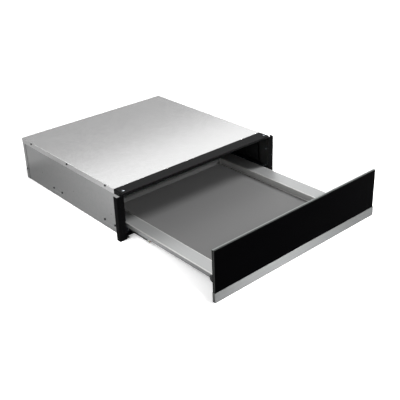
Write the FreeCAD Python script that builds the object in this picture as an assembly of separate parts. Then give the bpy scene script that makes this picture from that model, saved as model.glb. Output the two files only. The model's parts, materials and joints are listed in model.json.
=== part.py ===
"""Built-in warming drawer, shown pulled open.

Millimetres, +Z up, +X to the right, +Y towards the rear. The origin is the middle of the
casing's underside. A slim steel casing holds two telescopic runners, a fan heater behind a
baffle and a push latch. The drawer carries a steel tray with a mat, and a glass front.
"""
import FreeCAD
import Part
import cmath
import math
import os

V = FreeCAD.Vector
ALONG_X = V(1, 0, 0)
ALONG_Y = V(0, 1, 0)
ALONG_Z = V(0, 0, 1)
SIDES = (("left", -1), ("right", 1))

# --- Casing ------------------------------------------------------------------------------
casing_width = 550.0
casing_height = 138.0
casing_depth = 545.0
sheet = 1.0                   # galvanised casing sheet
wrap = 16.0                   # how far the cover and rear panel fold over the sides
side_flange = 12.0            # inward folds of the side panels
cover_gap = 0.2               # under the cover, where it doesn't rest
corner_gap = 0.7              # clears the round inside of a neighbour's fold

# --- Black front frame -------------------------------------------------------------------
post_width = 20.4             # from the casing's side to the post's outer face
frame_sheet = 1.2
bar_depth = 40.0
bar_lip = 5.5
bar_end_fold = 5.0            # in front of the posts
bar_end_tab = 14.0            # behind the posts, down the casing's sides
bar_screw_inset = 10.0        # from the bar's end
bar_screw_spot = 12.0
bar_notch = 8.0               # the sides' folds are cut away in front of the cover
bar_tongue = 12.0             # the joggle that the top cover lies on
post_depth = 15.0
post_gap = 0.2
post_corner = 3.0
rail_setback = 13.0
rail_height = 10.0
rail_foot = 14.0
carcass_hole = 4.5
carcass_hole_low = 25.0
carcass_hole_high = 105.0
carcass_hole_inset = 8.0      # from the post's outer edge

# --- Inner shell and insulation ----------------------------------------------------------
shell_clearance = 4.0         # between the shell's sides and the casing's sides
shell_top_gap = 9.0           # room above the shell for the blanket
shell_foot_gap = 8.0          # between the tray's rim and the shell's feet
shell_end_gap = 0.3
blanket_gap = 0.3
blanket_margin = 14.0

# --- Heater compartment ------------------------------------------------------------------
baffle_flange = 12.0
compartment_lift = 5.0        # above the tray's rims, which slide under it
baffle_seat = 0.3
fan_height = 90.0
fan_radius = 35.0
fan_hub_radius = 11.0
fan_width = 18.0
fan_gap = 6.0                 # between the baffle and the blades
blade_count = 9
blade_sheet = 1.2
blade_twist = 32.0
shaft_radius = 2.5
shaft_fit = 0.05
motor_radius = 27.0
motor_length = 27.0
motor_gap = 7.0
strap_width = 26.0
strap_reach = 60.0
strap_sheet = 1.5
strap_stand_off = 13.0        # the motor's back to the rear panel
heater_ring_radius = 42.0
heater_tube_radius = 3.2
heater_gap = 15.0             # baffle to the middle of the ring
heater_open_angle = 36.0
cutout_radius = 9.0
cutout_height = 8.0
cutout_offset = 92.0
terminal_size = (48.0, 22.0, 18.0)
terminal_offset = 200.0
gland_offset = 216.0
gland_height = 58.0
gland_bore = 8.0
gland_thread_radius = 8.0
gland_flange = 11.0
gland_flange_length = 5.0
gland_dome_radius = 9.5
gland_dome_length = 14.0
gland_nut_length = 4.0

# --- Runners: sizes of one telescopic pair, from the outside in --------------------------
runner_lift = 11.0            # middle of the runner above the bottom rail
runner_size = 25.0
runner_setback = 17.0         # behind the front of the frame
runner_rear_gap = 10.0        # to the baffle
bracket_sheet = 1.2
upstand_offset = 18.2         # from the casing's outer face to the bracket's far side
bracket_lift = 1.0            # the side panel's fold that the bracket stands on
race_sheet = 1.2
middle_sheet = 1.0
ball_gap = 3.0                # between two races
ball_diameter = 2.4
ball_spacing = 15.0
ball_pocket = 2.9
cage_sheet = 0.4
cage_play = 0.4
runner_depth = 10.0
middle_rear_gap = 27.5        # to the baffle, with the drawer pushed right in
middle_reach = 73.0           # in front of the frame when the drawer is open
outer_cage_length = 140.0
outer_cage_start = 30.0
inner_cage_length = 120.0
inner_cage_start = -60.0
drawer_member_depth = 6.3

# --- Drawer: travel and front ------------------------------------------------------------
travel = 362.0                # from open to latched shut
push_in = 3.0                 # further in, to release the latch
closed_gap = 4.5              # carrier to frame, latched shut
front_lift = 1.0              # under the front
front_rise = 2.0              # above the casing
front_overlap = 0.6           # beyond the frame on each side
glass_thickness = 4.0
glass_tuck = 13.0             # how far the glass goes down behind the trim
glass_edge = 0.5
carrier_depth = 4.0
carrier_sheet = 1.0
trim_height = 26.0
trim_sheet = 1.2
stiffener_depth = 15.5
stiffener_lift = 9.0          # above the front's lower edge
stiffener_top_gap = 6.0       # below the shell's ceiling
stiffener_inset = 1.0         # from the tray's outer folds
stiffener_sheet = 1.2
buffer_radius = 5.0
buffer_reach = 1.2            # proud of the carrier
buffer_heights = (45.0, 85.0)

# --- Drawer: tray and mat ----------------------------------------------------------------
tray_side_gap = 16.0          # from the casing's outer face to the tray's outer fold
tray_rear_gap = 24.0          # to the rear panel, latched shut
tray_sheet = 1.0
rim_width = 46.0
rim_lift = 16.0               # outer edge of the rim above the runner's middle
rim_slope = 3.5
rim_fold = 12.0
tray_bend = 2.0
tray_rear_flange = 10.0
mat_thickness = 2.0
mat_gap = 3.0
mat_corner = 14.0
mat_lip_height = 13.0         # turned up at the rear, to lift the mat out by
mat_lip_corner = 4.0
rail_sheet = 1.2
drawer_lift = 1.8             # under the drawer's rails, over the bottom rail
tray_rail_drop = 2.5          # from the rim's inner edge to the rail's top

# --- Front brackets ----------------------------------------------------------------------
front_bracket_sheet = 1.5
front_bracket_height = 21.0
front_bracket_reach = 53.0    # behind the carrier's plate
front_bracket_foot = 26.0

# --- Latch -------------------------------------------------------------------------------
latch_sheet = 1.5
latch_gap = 0.5               # under the tray's rear flange
latch_depth = 18.0
latch_left = -14.0
latch_right = 32.0
latch_pivot_offset = 18.0
latch_pivot_radius = 3.0
pivot_fit = 0.05
hook_hub_radius = 5.5
hook_arm_low = 5.0
hook_arm_high = 10.5
hook_arm_width = 5.6
hook_open_angle = 65.0
striker_pin_radius = 2.5
striker_pin_reach = 14.0      # behind the tray
striker_width = 14.0
striker_tongue = 18.0
striker_height = 20.0
hook_play = 0.4

# --- Controls on the drawer --------------------------------------------------------------
console_end_gap = 18.0        # from the stiffener's right end
console_width = 120.0
console_depth = 34.0
console_lift = 3.0            # above the tray's rim
console_height = 26.0
console_wall = 2.0
knob_radius = 13.0
knob_height = 13.0
knob_lift = 0.6
knob_shaft_radius = 3.0
knob_shaft_length = 12.0
knob_offset = 92.0            # from the console's left end
thermostat_size = (30.0, 24.0, 15.0)
thermostat_neck = 5.0
switch_offset = 34.0
rocker_length = 18.6
rocker_width = 10.6
rocker_opening = 20.2
rocker_slot = 11.4
rocker_rise = 2.5
rocker_depth = 4.0
rocker_tilt = 8.0
rocker_axle_radius = 1.0
switch_wall = 1.2
switch_depth = 12.0
lens_offset = 62.0
lens_radius = 3.5
lens_rise = 1.0
fit = 0.1                     # round a fixed piece in its hole

# --- Fasteners ---------------------------------------------------------------------------
screw_radius = 1.5
screw_head_radius = 3.0
screw_head_height = 1.8
screw_length = 5.0
short_screw_length = 2.4
screw_hole = screw_radius + fit
cover_screw_spots = (83.0, 278.0, 487.0)
cover_screw_drop = 5.0
runner_screw_spots = (53.0, 102.0, 329.0, 377.0)
shell_screw_spots = (67.0, 260.0, 440.0)
shell_screw_lift = 6.0
post_screw_heights = (38.0, 92.0)
rear_screw_height = 34.0
emboss_depth = 0.3
emboss_height = 13.0
emboss_margin = 13.0

# --- Places worked out from the sizes above ----------------------------------------------
front_y = -casing_depth / 2
rear_y = casing_depth / 2
half_width = casing_width / 2
side_outer = half_width - sheet
side_inner = side_outer - sheet
side_top = casing_height - frame_sheet
base_top = sheet
cover_start = front_y + bar_depth
compartment_back = rear_y - sheet
fan_front = compartment_back - strap_stand_off - motor_length - motor_gap - fan_width
baffle_y = fan_front - fan_gap - sheet
post_outer = half_width + post_width
post_top = casing_height - bar_lip - post_gap
shell_side = side_inner - shell_clearance
shell_top = casing_height - sheet - shell_top_gap
shell_screw_length = side_outer - shell_side - cover_gap

runner_height = rail_height + runner_lift
runner_front = front_y + runner_setback
runner_length = baffle_y - runner_rear_gap - runner_front
upstand_inner = half_width - upstand_offset - sheet
fixed_back = upstand_inner
fixed_mouth = fixed_back - runner_depth
fixed_half = runner_size / 2
middle_half = fixed_half - race_sheet - ball_gap
inner_half = middle_half - middle_sheet - ball_gap
outer_cage_side = fixed_back - race_sheet - cage_play - cage_sheet / 2
middle_back = outer_cage_side - cage_sheet / 2 - cage_play
middle_front = front_y - middle_reach
middle_length = baffle_y - middle_rear_gap - (travel + push_in) / 2 - middle_front
inner_cage_side = middle_back - middle_sheet - cage_play - cage_sheet / 2
drawer_member_mouth = inner_cage_side - cage_sheet / 2 - cage_play
drawer_member_back = drawer_member_mouth - drawer_member_depth
bracket_bottom = base_top + bracket_lift

glass_half = post_outer + front_overlap
panel_depth = glass_thickness + carrier_depth
panel_y = front_y - closed_gap - panel_depth - travel
carrier_y = panel_y + glass_thickness
carrier_plate_back = carrier_y + carrier_sheet
carrier_back = carrier_y + carrier_depth
front_bottom = front_lift
front_top = casing_height + front_rise
glass_bottom = front_bottom + trim_height - glass_tuck
stiffener_back = carrier_plate_back + stiffener_depth
stiffener_bottom = front_bottom + stiffener_lift
stiffener_top = shell_top - stiffener_top_gap

tray_outer = half_width - tray_side_gap
tray_inner = tray_outer - rim_width
tray_front = stiffener_back
tray_rear = compartment_back - tray_rear_gap - travel
tray_length = tray_rear - tray_front
tray_rail_bottom = rail_height + drawer_lift
tray_floor = tray_rail_bottom + rail_sheet + tray_sheet
rim_outer_height = runner_height + rim_lift
rim_inner_height = rim_outer_height - rim_slope
rim_fold_bottom = rim_outer_height - rim_fold
tray_rail_top = rim_inner_height - tray_rail_drop
tray_wall_top = rim_inner_height - 1.5 * tray_bend
flange_bottom = tray_wall_top - tray_sheet
mat_top = tray_floor + mat_thickness
shell_foot = rim_outer_height + shell_foot_gap
compartment_floor = rim_outer_height + compartment_lift
stiffener_half_width = tray_outer - stiffener_inset
front_bracket_middle = rim_outer_height - front_bracket_height / 2
fold_screw_height = rim_outer_height - rim_fold / 2

latch_height = flange_bottom - latch_gap - latch_sheet
striker_top = flange_bottom - latch_gap
pin_y = tray_rear + striker_pin_reach
latched_pin_y = pin_y + travel
pivot_y = latched_pin_y
console_left = stiffener_half_width - console_end_gap - console_width
console_bottom = rim_outer_height + console_lift
console_front = stiffener_back
console_back = console_front + console_depth
console_top = console_bottom + console_height
console_middle = console_front + console_depth / 2


# --- Building blocks ---------------------------------------------------------------------
def block(x_span, y_span, z_span):
    """Block between the two values given for each of X, Y and Z, in either order."""
    spans = [sorted(span) for span in (x_span, y_span, z_span)]
    sizes = [high - low for low, high in spans]
    return Part.makeBox(*sizes, V(*[low for low, high in spans]))


def rod(start, direction, radius, length):
    """Round bar from start along direction."""
    return Part.makeCylinder(radius, length, start, direction)


def placer(axis, level):
    """Function that lifts a flat point into the plane across axis at level."""
    if axis == ALONG_X:
        return lambda point: V(level, point.real, point.imag)
    if axis == ALONG_Y:
        return lambda point: V(point.real, level, point.imag)
    return lambda point: V(point.real, point.imag, level)


def sheet_section(path, thickness, bend, place):
    """Face of a folded sheet whose middle line follows path, with every fold rounded."""
    points = [complex(*point) for point in path]
    runs = [(after - before) / abs(after - before) for before, after in zip(points, points[1:])]
    edges = []
    ends = []
    for side in (thickness / 2, -thickness / 2):
        start = points[0] + runs[0] * 1j * side
        ends.append(start)
        for corner, before, after in zip(points[1:-1], runs, runs[1:]):
            turn = cmath.phase(after / before)
            setback = bend * math.tan(abs(turn) / 2)
            hand = math.copysign(1, turn)
            centre = corner - before * setback + before * 1j * bend * hand
            entry = corner - before * setback + before * 1j * side
            leave = corner + after * setback + after * 1j * side
            outward = (corner - centre) / abs(corner - centre)
            middle = centre + outward * (bend - side * hand)
            edges.append(Part.LineSegment(place(start), place(entry)).toShape())
            edges.append(Part.Arc(place(entry), place(middle), place(leave)).toShape())
            start = leave
        finish = points[-1] + runs[-1] * 1j * side
        edges.append(Part.LineSegment(place(start), place(finish)).toShape())
        ends.append(finish)
    edges.append(Part.LineSegment(place(ends[0]), place(ends[2])).toShape())
    edges.append(Part.LineSegment(place(ends[1]), place(ends[3])).toShape())
    return Part.Face(Part.Wire(Part.__sortEdges__(edges)))


def folded(axis, span, path, thickness, bend=None):
    """Folded sheet: path in the plane across axis, run out over span along axis."""
    low, high = sorted(span)
    face = sheet_section(path, thickness, bend or thickness, placer(axis, low))
    return face.extrude(axis * (high - low))


def prism(axis, span, outline):
    """Solid with a straight-sided outline in the plane across axis, run out over span."""
    low, high = sorted(span)
    place = placer(axis, low)
    corners = [place(complex(*point)) for point in outline]
    return Part.Face(Part.makePolygon(corners + corners[:1])).extrude(axis * (high - low))


def joined(first, *others):
    """One solid from pieces that touch or overlap."""
    return first.fuse(list(others)).removeSplitter()


def drilled(shape, holes):
    """The shape with each hole's solid taken out."""
    return shape.cut(list(holes))


def rounded(shape, radius, axis):
    """The shape with its edges along axis rounded."""
    edges = [edge for edge in shape.Edges if is_along(edge, axis)]
    return shape.makeFillet(radius, edges)


def is_along(edge, axis):
    """True for a straight edge that runs along axis."""
    if len(edge.Vertexes) != 2:
        return False
    run = edge.Vertexes[1].Point - edge.Vertexes[0].Point
    return run.cross(axis).Length < 1e-6 * run.Length


def screw(seat, out, length=screw_length, head_radius=screw_head_radius):
    """Pan-head screw with a cross recess: its head stands out of seat along out."""
    head = Part.makeCylinder(head_radius, screw_head_height)
    crown = [edge for edge in head.Edges if edge.BoundBox.ZMin > screw_head_height / 2]
    head = head.makeFillet(screw_head_height * 0.45, crown)
    shank = rod(V(0, 0, -length), ALONG_Z, screw_radius, length)
    wide = head_radius * 0.6
    slim = head_radius * 0.12
    deep = (screw_head_height * 0.45, screw_head_height * 2)
    cross = [block((-wide, wide), (-slim, slim), deep), block((-slim, slim), (-wide, wide), deep)]
    solid = drilled(joined(head, shank), cross)
    solid.Placement = FreeCAD.Placement(seat, FreeCAD.Rotation(ALONG_Z, out))
    return solid


def turned(shape, centre, axis, angle):
    """A copy of the shape, turned about an axis through centre."""
    copy = shape.copy()
    copy.rotate(centre, axis, angle)
    return copy


def rounded_slot(axis, span, middle, length, width):
    """Slot-shaped solid: round-ended, its length along the first direction across axis."""
    low, high = sorted(span)
    place = placer(axis, low)
    reach = (length - width) / 2
    centre = complex(*middle)
    core_low = centre - reach - width / 2 * 1j
    core_high = centre + reach + width / 2 * 1j
    outline = [(core_low.real, core_low.imag), (core_high.real, core_low.imag),
               (core_high.real, core_high.imag), (core_low.real, core_high.imag)]
    ends = [rod(place(centre + way * reach), axis, width / 2, high - low) for way in (-1, 1)]
    return joined(prism(axis, span, outline), *ends)


# --- Casing pieces -----------------------------------------------------------------------
def cover_screw_points(side):
    """Seats of the screws in the cover's side folds."""
    height = casing_height - cover_screw_drop
    return [V(side * half_width, front_y + spot, height) for spot in cover_screw_spots]


def rear_screw_points(way):
    """Seats of the screws in the rear panel's side folds."""
    return [V(way * half_width, rear_y - wrap / 2, rear_screw_height)]


def make_top_cover():
    """Top cover, folded down over the sides."""
    side = half_width - sheet / 2
    top = casing_height - sheet / 2
    low = casing_height - wrap
    path = [(-side, low), (-side, top), (side, top), (side, low)]
    cover = folded(ALONG_Y, (cover_start, rear_y), path, sheet)
    holes = [rod(point, ALONG_X * -way, screw_hole, 2 * sheet)
             for name, way in SIDES for point in cover_screw_points(way)]
    return drilled(cover, holes)


def make_side_panel(way):
    """Side of the casing, folded inwards at the top and bottom."""
    x = side_outer - sheet / 2
    reach = side_outer - side_flange
    top = side_top - sheet / 2
    bottom = base_top + sheet / 2
    path = [(way * reach, top), (way * x, top), (way * x, bottom), (way * reach, bottom)]
    panel = folded(ALONG_Y, (front_y + frame_sheet, compartment_back - corner_gap), path, sheet)
    notch = block((way * reach, way * side_inner),
                  (cover_start - bar_notch, cover_start + bar_tongue),
                  (side_top - 2 * sheet, side_top))
    holes = [notch]
    for point in bar_screw_points(way):
        holes.append(rod(point, ALONG_Z * -1, screw_hole, 4 * sheet))
    for point in (cover_screw_points(way) + runner_screw_points(way)
                  + rear_screw_points(way) + shell_screw_points(way)):
        holes.append(rod(V(way * half_width, point.y, point.z), ALONG_X * -way, screw_hole, 4 * sheet))
    for point in post_screw_points(way):
        holes.append(rod(point, ALONG_X * -way, screw_hole, 4 * sheet))
    for first, last in (runner_screw_spots[:2], runner_screw_spots[2:]):
        middle = (front_y + (first + last) / 2, runner_height)
        length = last - first + 2 * emboss_margin
        span = (way * side_outer, way * (side_outer - emboss_depth))
        holes.append(rounded_slot(ALONG_X, span, middle, length, emboss_height))
    return drilled(panel, holes)


def vent_slots(axis, span, middle, count, pitch, length, width):
    """Row of upright slots across a panel, spaced along the panel's first direction."""
    first = middle[0] - pitch * (count - 1) / 2
    slots = []
    for index in range(count):
        x = first + pitch * index
        slots.append(block((x - width / 2, x + width / 2), span,
                           (middle[1] - length / 2, middle[1] + length / 2)))
    return slots


vent_count = 12
vent_pitch = 8.0
vent_length = 40.0
vent_width = 3.0
vent_offset = 150.0
vent_height = 84.0
base_vent_count = 10


def make_base_panel():
    """Flat base that the whole drawer stands on, with air slots under the heater."""
    span = (front_y + rail_setback, compartment_back - corner_gap)
    plate = block((-side_outer, side_outer), span, (0, base_top))
    return drilled(plate, floor_slots((0, base_top)))


def floor_slots(span):
    """Row of air slots through a horizontal sheet under the heater compartment."""
    middle_y = (baffle_y + compartment_back) / 2
    slots = []
    for index in range(base_vent_count):
        x = -vent_offset + vent_pitch * (index - (base_vent_count - 1) / 2)
        slots.append(block((x - vent_width / 2, x + vent_width / 2),
                           (middle_y - vent_length / 2, middle_y + vent_length / 2), span))
    return slots


def make_rear_panel():
    """Rear panel, folded forwards over the sides below the cover."""
    side = half_width - sheet / 2
    y = rear_y - sheet / 2
    path = [(-side, rear_y - wrap), (-side, y), (side, y), (side, rear_y - wrap)]
    panel = folded(ALONG_Z, (0, casing_height - sheet), path, sheet)
    cover_low = casing_height - wrap - cover_gap
    edge = side_outer - corner_gap
    cuts = [block((way * edge, way * 2 * half_width), (rear_y - 2 * wrap, 2 * rear_y),
                  (cover_low, casing_height)) for name, way in SIDES]
    for way in (-1, 1):
        cuts += vent_slots(ALONG_Y, (compartment_back - sheet, rear_y + sheet),
                           (way * vent_offset, vent_height), vent_count, vent_pitch,
                           vent_length, vent_width)
        cuts += [rod(point, ALONG_X * -way, screw_hole, 2 * sheet) for point in rear_screw_points(way)]
    gland = V(gland_offset, rear_y - 2 * sheet, gland_height)
    cuts.append(rod(gland, ALONG_Y, gland_thread_radius + fit, 4 * sheet))
    return drilled(panel, cuts)


def make_inner_shell():
    """Dark inner shell: ceiling and sides round the drawer, resting against the casing's sides."""
    side = shell_side + sheet / 2
    top = shell_top - sheet / 2
    foot = shell_foot + sheet / 2
    edge = side_inner - shell_end_gap
    path = [(-edge, foot), (-side, foot), (-side, top), (side, top), (side, foot), (edge, foot)]
    span = (cover_start + shell_end_gap, baffle_y - shell_end_gap)
    shell = folded(ALONG_Y, span, path, sheet, 2 * sheet)
    lip = block((-shell_side + wrap, shell_side - wrap), (span[0], span[0] + sheet),
                (shell_top - sheet / 2, side_top - frame_sheet - shell_end_gap))
    holes = [rod(point + ALONG_X * -way, ALONG_X * way, screw_hole, 4 * sheet)
             for name, way in SIDES for point in shell_screw_points(way)]
    return drilled(joined(shell, lip), holes)


def shell_screw_points(way):
    """Seats of the screws that hold the inner shell to the casing's sides."""
    height = shell_foot + shell_screw_lift
    return [V(way * shell_side, front_y + spot, height) for spot in shell_screw_spots]


def make_blanket():
    """Mineral wool between the inner shell and the top cover."""
    half = shell_side - blanket_margin
    span = (cover_start + blanket_margin, baffle_y - blanket_margin)
    wool = block((-half, half), span, (shell_top + blanket_gap, casing_height - sheet - blanket_gap))
    return rounded(wool, shell_top_gap, ALONG_Z)


# --- Black front frame -------------------------------------------------------------------
def make_top_bar():
    """Top bar of the frame: a front lip, end folds over the sides and a tongue under the cover."""
    half = half_width
    top = casing_height - frame_sheet / 2
    low = casing_height - bar_end_fold
    path = [(-half, low), (-half, top), (half, top), (half, low)]
    bar = folded(ALONG_Y, (front_y, cover_start), path, frame_sheet)
    lip = block((-half, half), (front_y, front_y + frame_sheet), (casing_height - bar_lip, top))
    under = casing_height - sheet - cover_gap - frame_sheet / 2
    step = cover_start - frame_sheet
    tongue = folded(ALONG_X, (-tongue_half(), tongue_half()),
                    [(step - frame_sheet, top), (step, top), (step, under),
                     (cover_start + bar_tongue, under)], frame_sheet, frame_sheet * 0.51)
    behind = (front_y + post_depth + post_gap, cover_start)
    tabs = [block((way * (half - frame_sheet / 2), way * (half + frame_sheet / 2)), behind,
                  (casing_height - bar_end_tab, low + frame_sheet)) for name, way in SIDES]
    holes = [rod(point, ALONG_Z * -1, screw_hole, 2 * frame_sheet)
             for name, way in SIDES for point in bar_screw_points(way)]
    return drilled(joined(bar, lip, tongue, *tabs), holes)


def bar_screw_points(way):
    """Seat of the screw that holds the top bar to the fold of a casing side."""
    return [V(way * (half_width - bar_screw_inset), front_y + bar_screw_spot, casing_height)]


def tongue_half():
    """Half the length of the top bar's tongue, inside the side panels' folds."""
    return side_outer - side_flange - cover_gap


def post_screw_points(way):
    """Seats of the screws that hold a post to the casing's side."""
    x = side_outer + frame_sheet
    return [V(way * x, front_y + post_depth * 0.6, height) for height in post_screw_heights]


def make_post(way):
    """Upright of the frame: a channel outside the casing's side, with holes for carcass screws."""
    inner = side_outer + frame_sheet / 2
    outer = post_outer - frame_sheet / 2
    y = front_y + frame_sheet / 2
    path = [(way * inner, front_y + post_depth), (way * inner, y),
            (way * outer, y), (way * outer, front_y + post_depth)]
    channel = folded(ALONG_Z, (0, post_top), path, frame_sheet)
    edge = block((way * side_inner, way * inner), (front_y, front_y + frame_sheet), (0, post_top))
    post = joined(channel, edge)
    corner = post_corner_cut(way)
    holes = [rod(point + ALONG_Y * -sheet, ALONG_Y, carcass_hole / 2, frame_sheet + 2 * sheet)
             for point in carcass_points(way)]
    for point in post_screw_points(way):
        holes.append(rod(point, ALONG_X * -way, screw_hole, 2 * frame_sheet))
    return drilled(post, holes + [corner])


def post_corner_cut(way):
    """What is taken off a post's top outer corner to round it."""
    x = way * post_outer
    spare = 2 * post_corner
    square = block((x, x - way * post_corner), (front_y - spare, front_y + post_depth + spare),
                   (post_top - post_corner, post_top))
    centre = V(x - way * post_corner, front_y - spare, post_top - post_corner)
    return square.cut(rod(centre, ALONG_Y, post_corner, post_depth + 2 * spare))


def carcass_points(way):
    """Holes where the frame is screwed to a cabinet's sides."""
    x = way * (post_outer - carcass_hole_inset)
    return [V(x, front_y, height) for height in (carcass_hole_low, carcass_hole_high)]


def make_bottom_rail():
    """Low rail across the bottom of the mouth, set back between the posts."""
    y = front_y + rail_setback + frame_sheet / 2
    foot = base_top + frame_sheet / 2
    path = [(y, rail_height), (y, foot), (y + rail_foot, foot)]
    half = side_inner - cover_gap
    rail = folded(ALONG_X, (-half, half), path, frame_sheet)
    inner = upstand_inner - cover_gap
    notches = [block((way * inner, way * 2 * half), (front_y, front_y + 2 * rail_foot + rail_setback),
                     (0, base_top + sheet + cover_gap)) for name, way in SIDES]
    return drilled(rail, notches)


# --- Heater compartment ------------------------------------------------------------------
fan_centre = V(0, baffle_y, fan_height)
grille_rings = (14.0, 24.0, 34.0)
grille_hole = 3.2
outlet_count = 14
outlet_pitch = 11.0
outlet_length = 34.0
outlet_width = 4.0
outlet_offset = 165.0


def make_baffle():
    """Steel baffle in front of the fan, with a floor under it, an intake grille and outlets."""
    half = side_inner - baffle_seat - sheet / 2
    y = baffle_y + sheet / 2
    path = [(-half, y + baffle_flange), (-half, y), (half, y), (half, y + baffle_flange)]
    span = (compartment_floor, side_top - sheet - baffle_seat)
    floor = block((-half, half), (y, compartment_back - corner_gap),
                  (compartment_floor, compartment_floor + sheet))
    baffle = joined(folded(ALONG_Z, span, path, sheet), floor)
    cuts = floor_slots((compartment_floor, compartment_floor + sheet))
    for ring in grille_rings:
        count = int(ring * 2 * math.pi / (grille_hole * 2.8))
        for index in range(count):
            angle = 2 * math.pi * index / count
            at = V(ring * math.cos(angle), baffle_y - sheet, fan_height + ring * math.sin(angle))
            cuts.append(rod(at, ALONG_Y, grille_hole, 4 * sheet))
    for way in (-1, 1):
        cuts += vent_slots(ALONG_Y, (baffle_y - sheet, baffle_y + 2 * sheet),
                           (way * outlet_offset, fan_height), outlet_count, outlet_pitch,
                           outlet_length, outlet_width)
    return drilled(baffle, cuts)


def make_impeller():
    """Fan wheel: a hub with twisted blades."""
    start = V(0, fan_front, fan_height)
    hub = rod(start, ALONG_Y, fan_hub_radius, fan_width)
    blades = []
    for index in range(blade_count):
        length = fan_radius - fan_hub_radius / 2
        blade = block((-blade_sheet / 2, blade_sheet / 2), (0, fan_width * 0.9), (0, length))
        blade.translate(V(0, 0, fan_hub_radius / 2))
        blade.rotate(V(0, fan_width * 0.45, 0), ALONG_Z, blade_twist)
        blade.rotate(V(0, 0, 0), ALONG_Y, 360.0 * index / blade_count)
        blade.translate(start + ALONG_Y * (fan_width * 0.05))
        blades.append(blade)
    wheel = joined(hub, *blades)
    bore = rod(start - ALONG_Y * sheet, ALONG_Y, shaft_radius + fit / 5, fan_width + 2 * sheet)
    reach = rod(start - ALONG_Y * fan_width, ALONG_Y, fan_radius, 3 * fan_width)
    return drilled(wheel, [bore]).common(reach)


motor_y = fan_front + fan_width + motor_gap
motor_bearing_depth = 16.0


def make_shaft():
    """Motor shaft, turning in the motor and carrying the fan wheel."""
    start = V(0, fan_front, fan_height)
    return rod(start, ALONG_Y, shaft_radius, motor_y + motor_bearing_depth - shaft_fit - start.y)


def make_motor():
    """Fan motor: a round can with a bearing boss and cooling ribs."""
    start = V(0, motor_y, fan_height)
    can = rod(start, ALONG_Y, motor_radius, motor_length)
    groove = motor_radius * 0.08
    grooves = []
    for index in range(3):
        y = motor_y + motor_length * (0.3 + 0.2 * index)
        ring = rod(V(0, y, fan_height), ALONG_Y, motor_radius + groove, groove)
        grooves.append(ring.cut(rod(V(0, y, fan_height), ALONG_Y, motor_radius - groove, groove)))
    bore = rod(start, ALONG_Y, shaft_radius + shaft_fit, motor_bearing_depth)
    return drilled(can, grooves + [bore])


def make_motor_strap():
    """Strap across the motor's back, fixed to the rear panel."""
    near = motor_y + motor_length + strap_sheet / 2
    far = compartment_back - strap_sheet / 2
    inner = strap_reach * 0.75
    path = [(-strap_reach, far), (-inner, far), (-inner, near), (inner, near), (inner, far),
            (strap_reach, far)]
    span = (fan_height - strap_width / 2, fan_height + strap_width / 2)
    return folded(ALONG_Z, span, path, strap_sheet)


def make_heater():
    """Tubular heating element: an open ring round the fan wheel with two legs to the rear."""
    centre = V(0, baffle_y + sheet + heater_gap, fan_height)
    sweep = 360.0 - heater_open_angle
    ring = Part.makeTorus(heater_ring_radius, heater_tube_radius, centre, ALONG_Y, -180, 180, sweep)
    ring = turned(ring, centre, ALONG_Y, 180 + heater_open_angle / 2)
    parts = [ring]
    leg = compartment_back - centre.y - baffle_seat
    for cap in [face.CenterOfMass for face in ring.Faces if face.Surface.TypeId == "Part::GeomPlane"]:
        parts.append(Part.makeSphere(heater_tube_radius, cap))
        parts.append(rod(cap, ALONG_Y, heater_tube_radius, leg))
    return joined(*parts)


def make_cutout():
    """Thermal cut-out: a disc on the back of the baffle with two tabs."""
    at = V(cutout_offset, baffle_y + sheet, fan_height)
    disc = rod(at, ALONG_Y, cutout_radius, cutout_height * 0.6)
    cap = rod(at, ALONG_Y, cutout_radius * 0.75, cutout_height)
    tabs = [block((at.x + way * cutout_radius * 0.4 - 0.4, at.x + way * cutout_radius * 0.4 + 0.4),
                  (at.y + cutout_height * 0.5, at.y + cutout_height * 1.8),
                  (at.z - cutout_radius * 0.3, at.z + cutout_radius * 0.3)) for way in (-1, 1)]
    return joined(disc, cap, *tabs)


def make_terminal_block():
    """Terminal block on the compartment's floor, with a screw well for each of its wires."""
    wide, deep, high = terminal_size
    left = terminal_offset - wide / 2
    near = (baffle_y + compartment_back) / 2 - deep / 2
    foot = compartment_floor + sheet
    body = block((left, left + wide), (near, near + deep), (foot, foot + high))
    wells = []
    for index in range(3):
        x = left + wide * (index + 0.5) / 3
        wells.append(rod(V(x, near + deep * 0.3, foot + high * 0.4), ALONG_Z, wide / 14, high))
        wells.append(rod(V(x, near + deep * 0.7, foot + high * 0.4), ALONG_Z, wide / 14, high))
        wells.append(rod(V(x, near, foot + high * 0.25), ALONG_Y, wide / 18, deep * 0.2))
    return drilled(body, wells)


def hexagon(start, direction, across_corners_radius, length):
    """Hexagonal bar from start along Y."""
    corners = []
    for index in range(7):
        angle = math.radians(60 * index)
        corners.append(start + V(across_corners_radius * math.cos(angle), 0,
                                 across_corners_radius * math.sin(angle)))
    return Part.Face(Part.makePolygon(corners)).extrude(direction * length)


def make_gland():
    """Cord gland through the rear panel: flange and dome outside, threaded neck inside."""
    centre = V(gland_offset, rear_y, gland_height)
    flange = hexagon(centre, ALONG_Y, gland_flange, gland_flange_length)
    dome = rod(centre, ALONG_Y, gland_dome_radius, gland_flange_length + gland_dome_length)
    crown = [edge for edge in dome.Edges
             if edge.BoundBox.YMin > rear_y + gland_flange_length + gland_dome_length / 2]
    dome = dome.makeFillet(gland_dome_radius * 0.4, crown)
    inside = sheet + gland_nut_length + sheet
    neck = rod(centre - ALONG_Y * inside, ALONG_Y, gland_thread_radius, inside)
    body = joined(flange, dome, neck)
    bore = rod(centre - ALONG_Y * 2 * inside, ALONG_Y, gland_bore / 2,
               3 * inside + gland_flange_length + gland_dome_length)
    return drilled(body, [bore])


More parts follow.
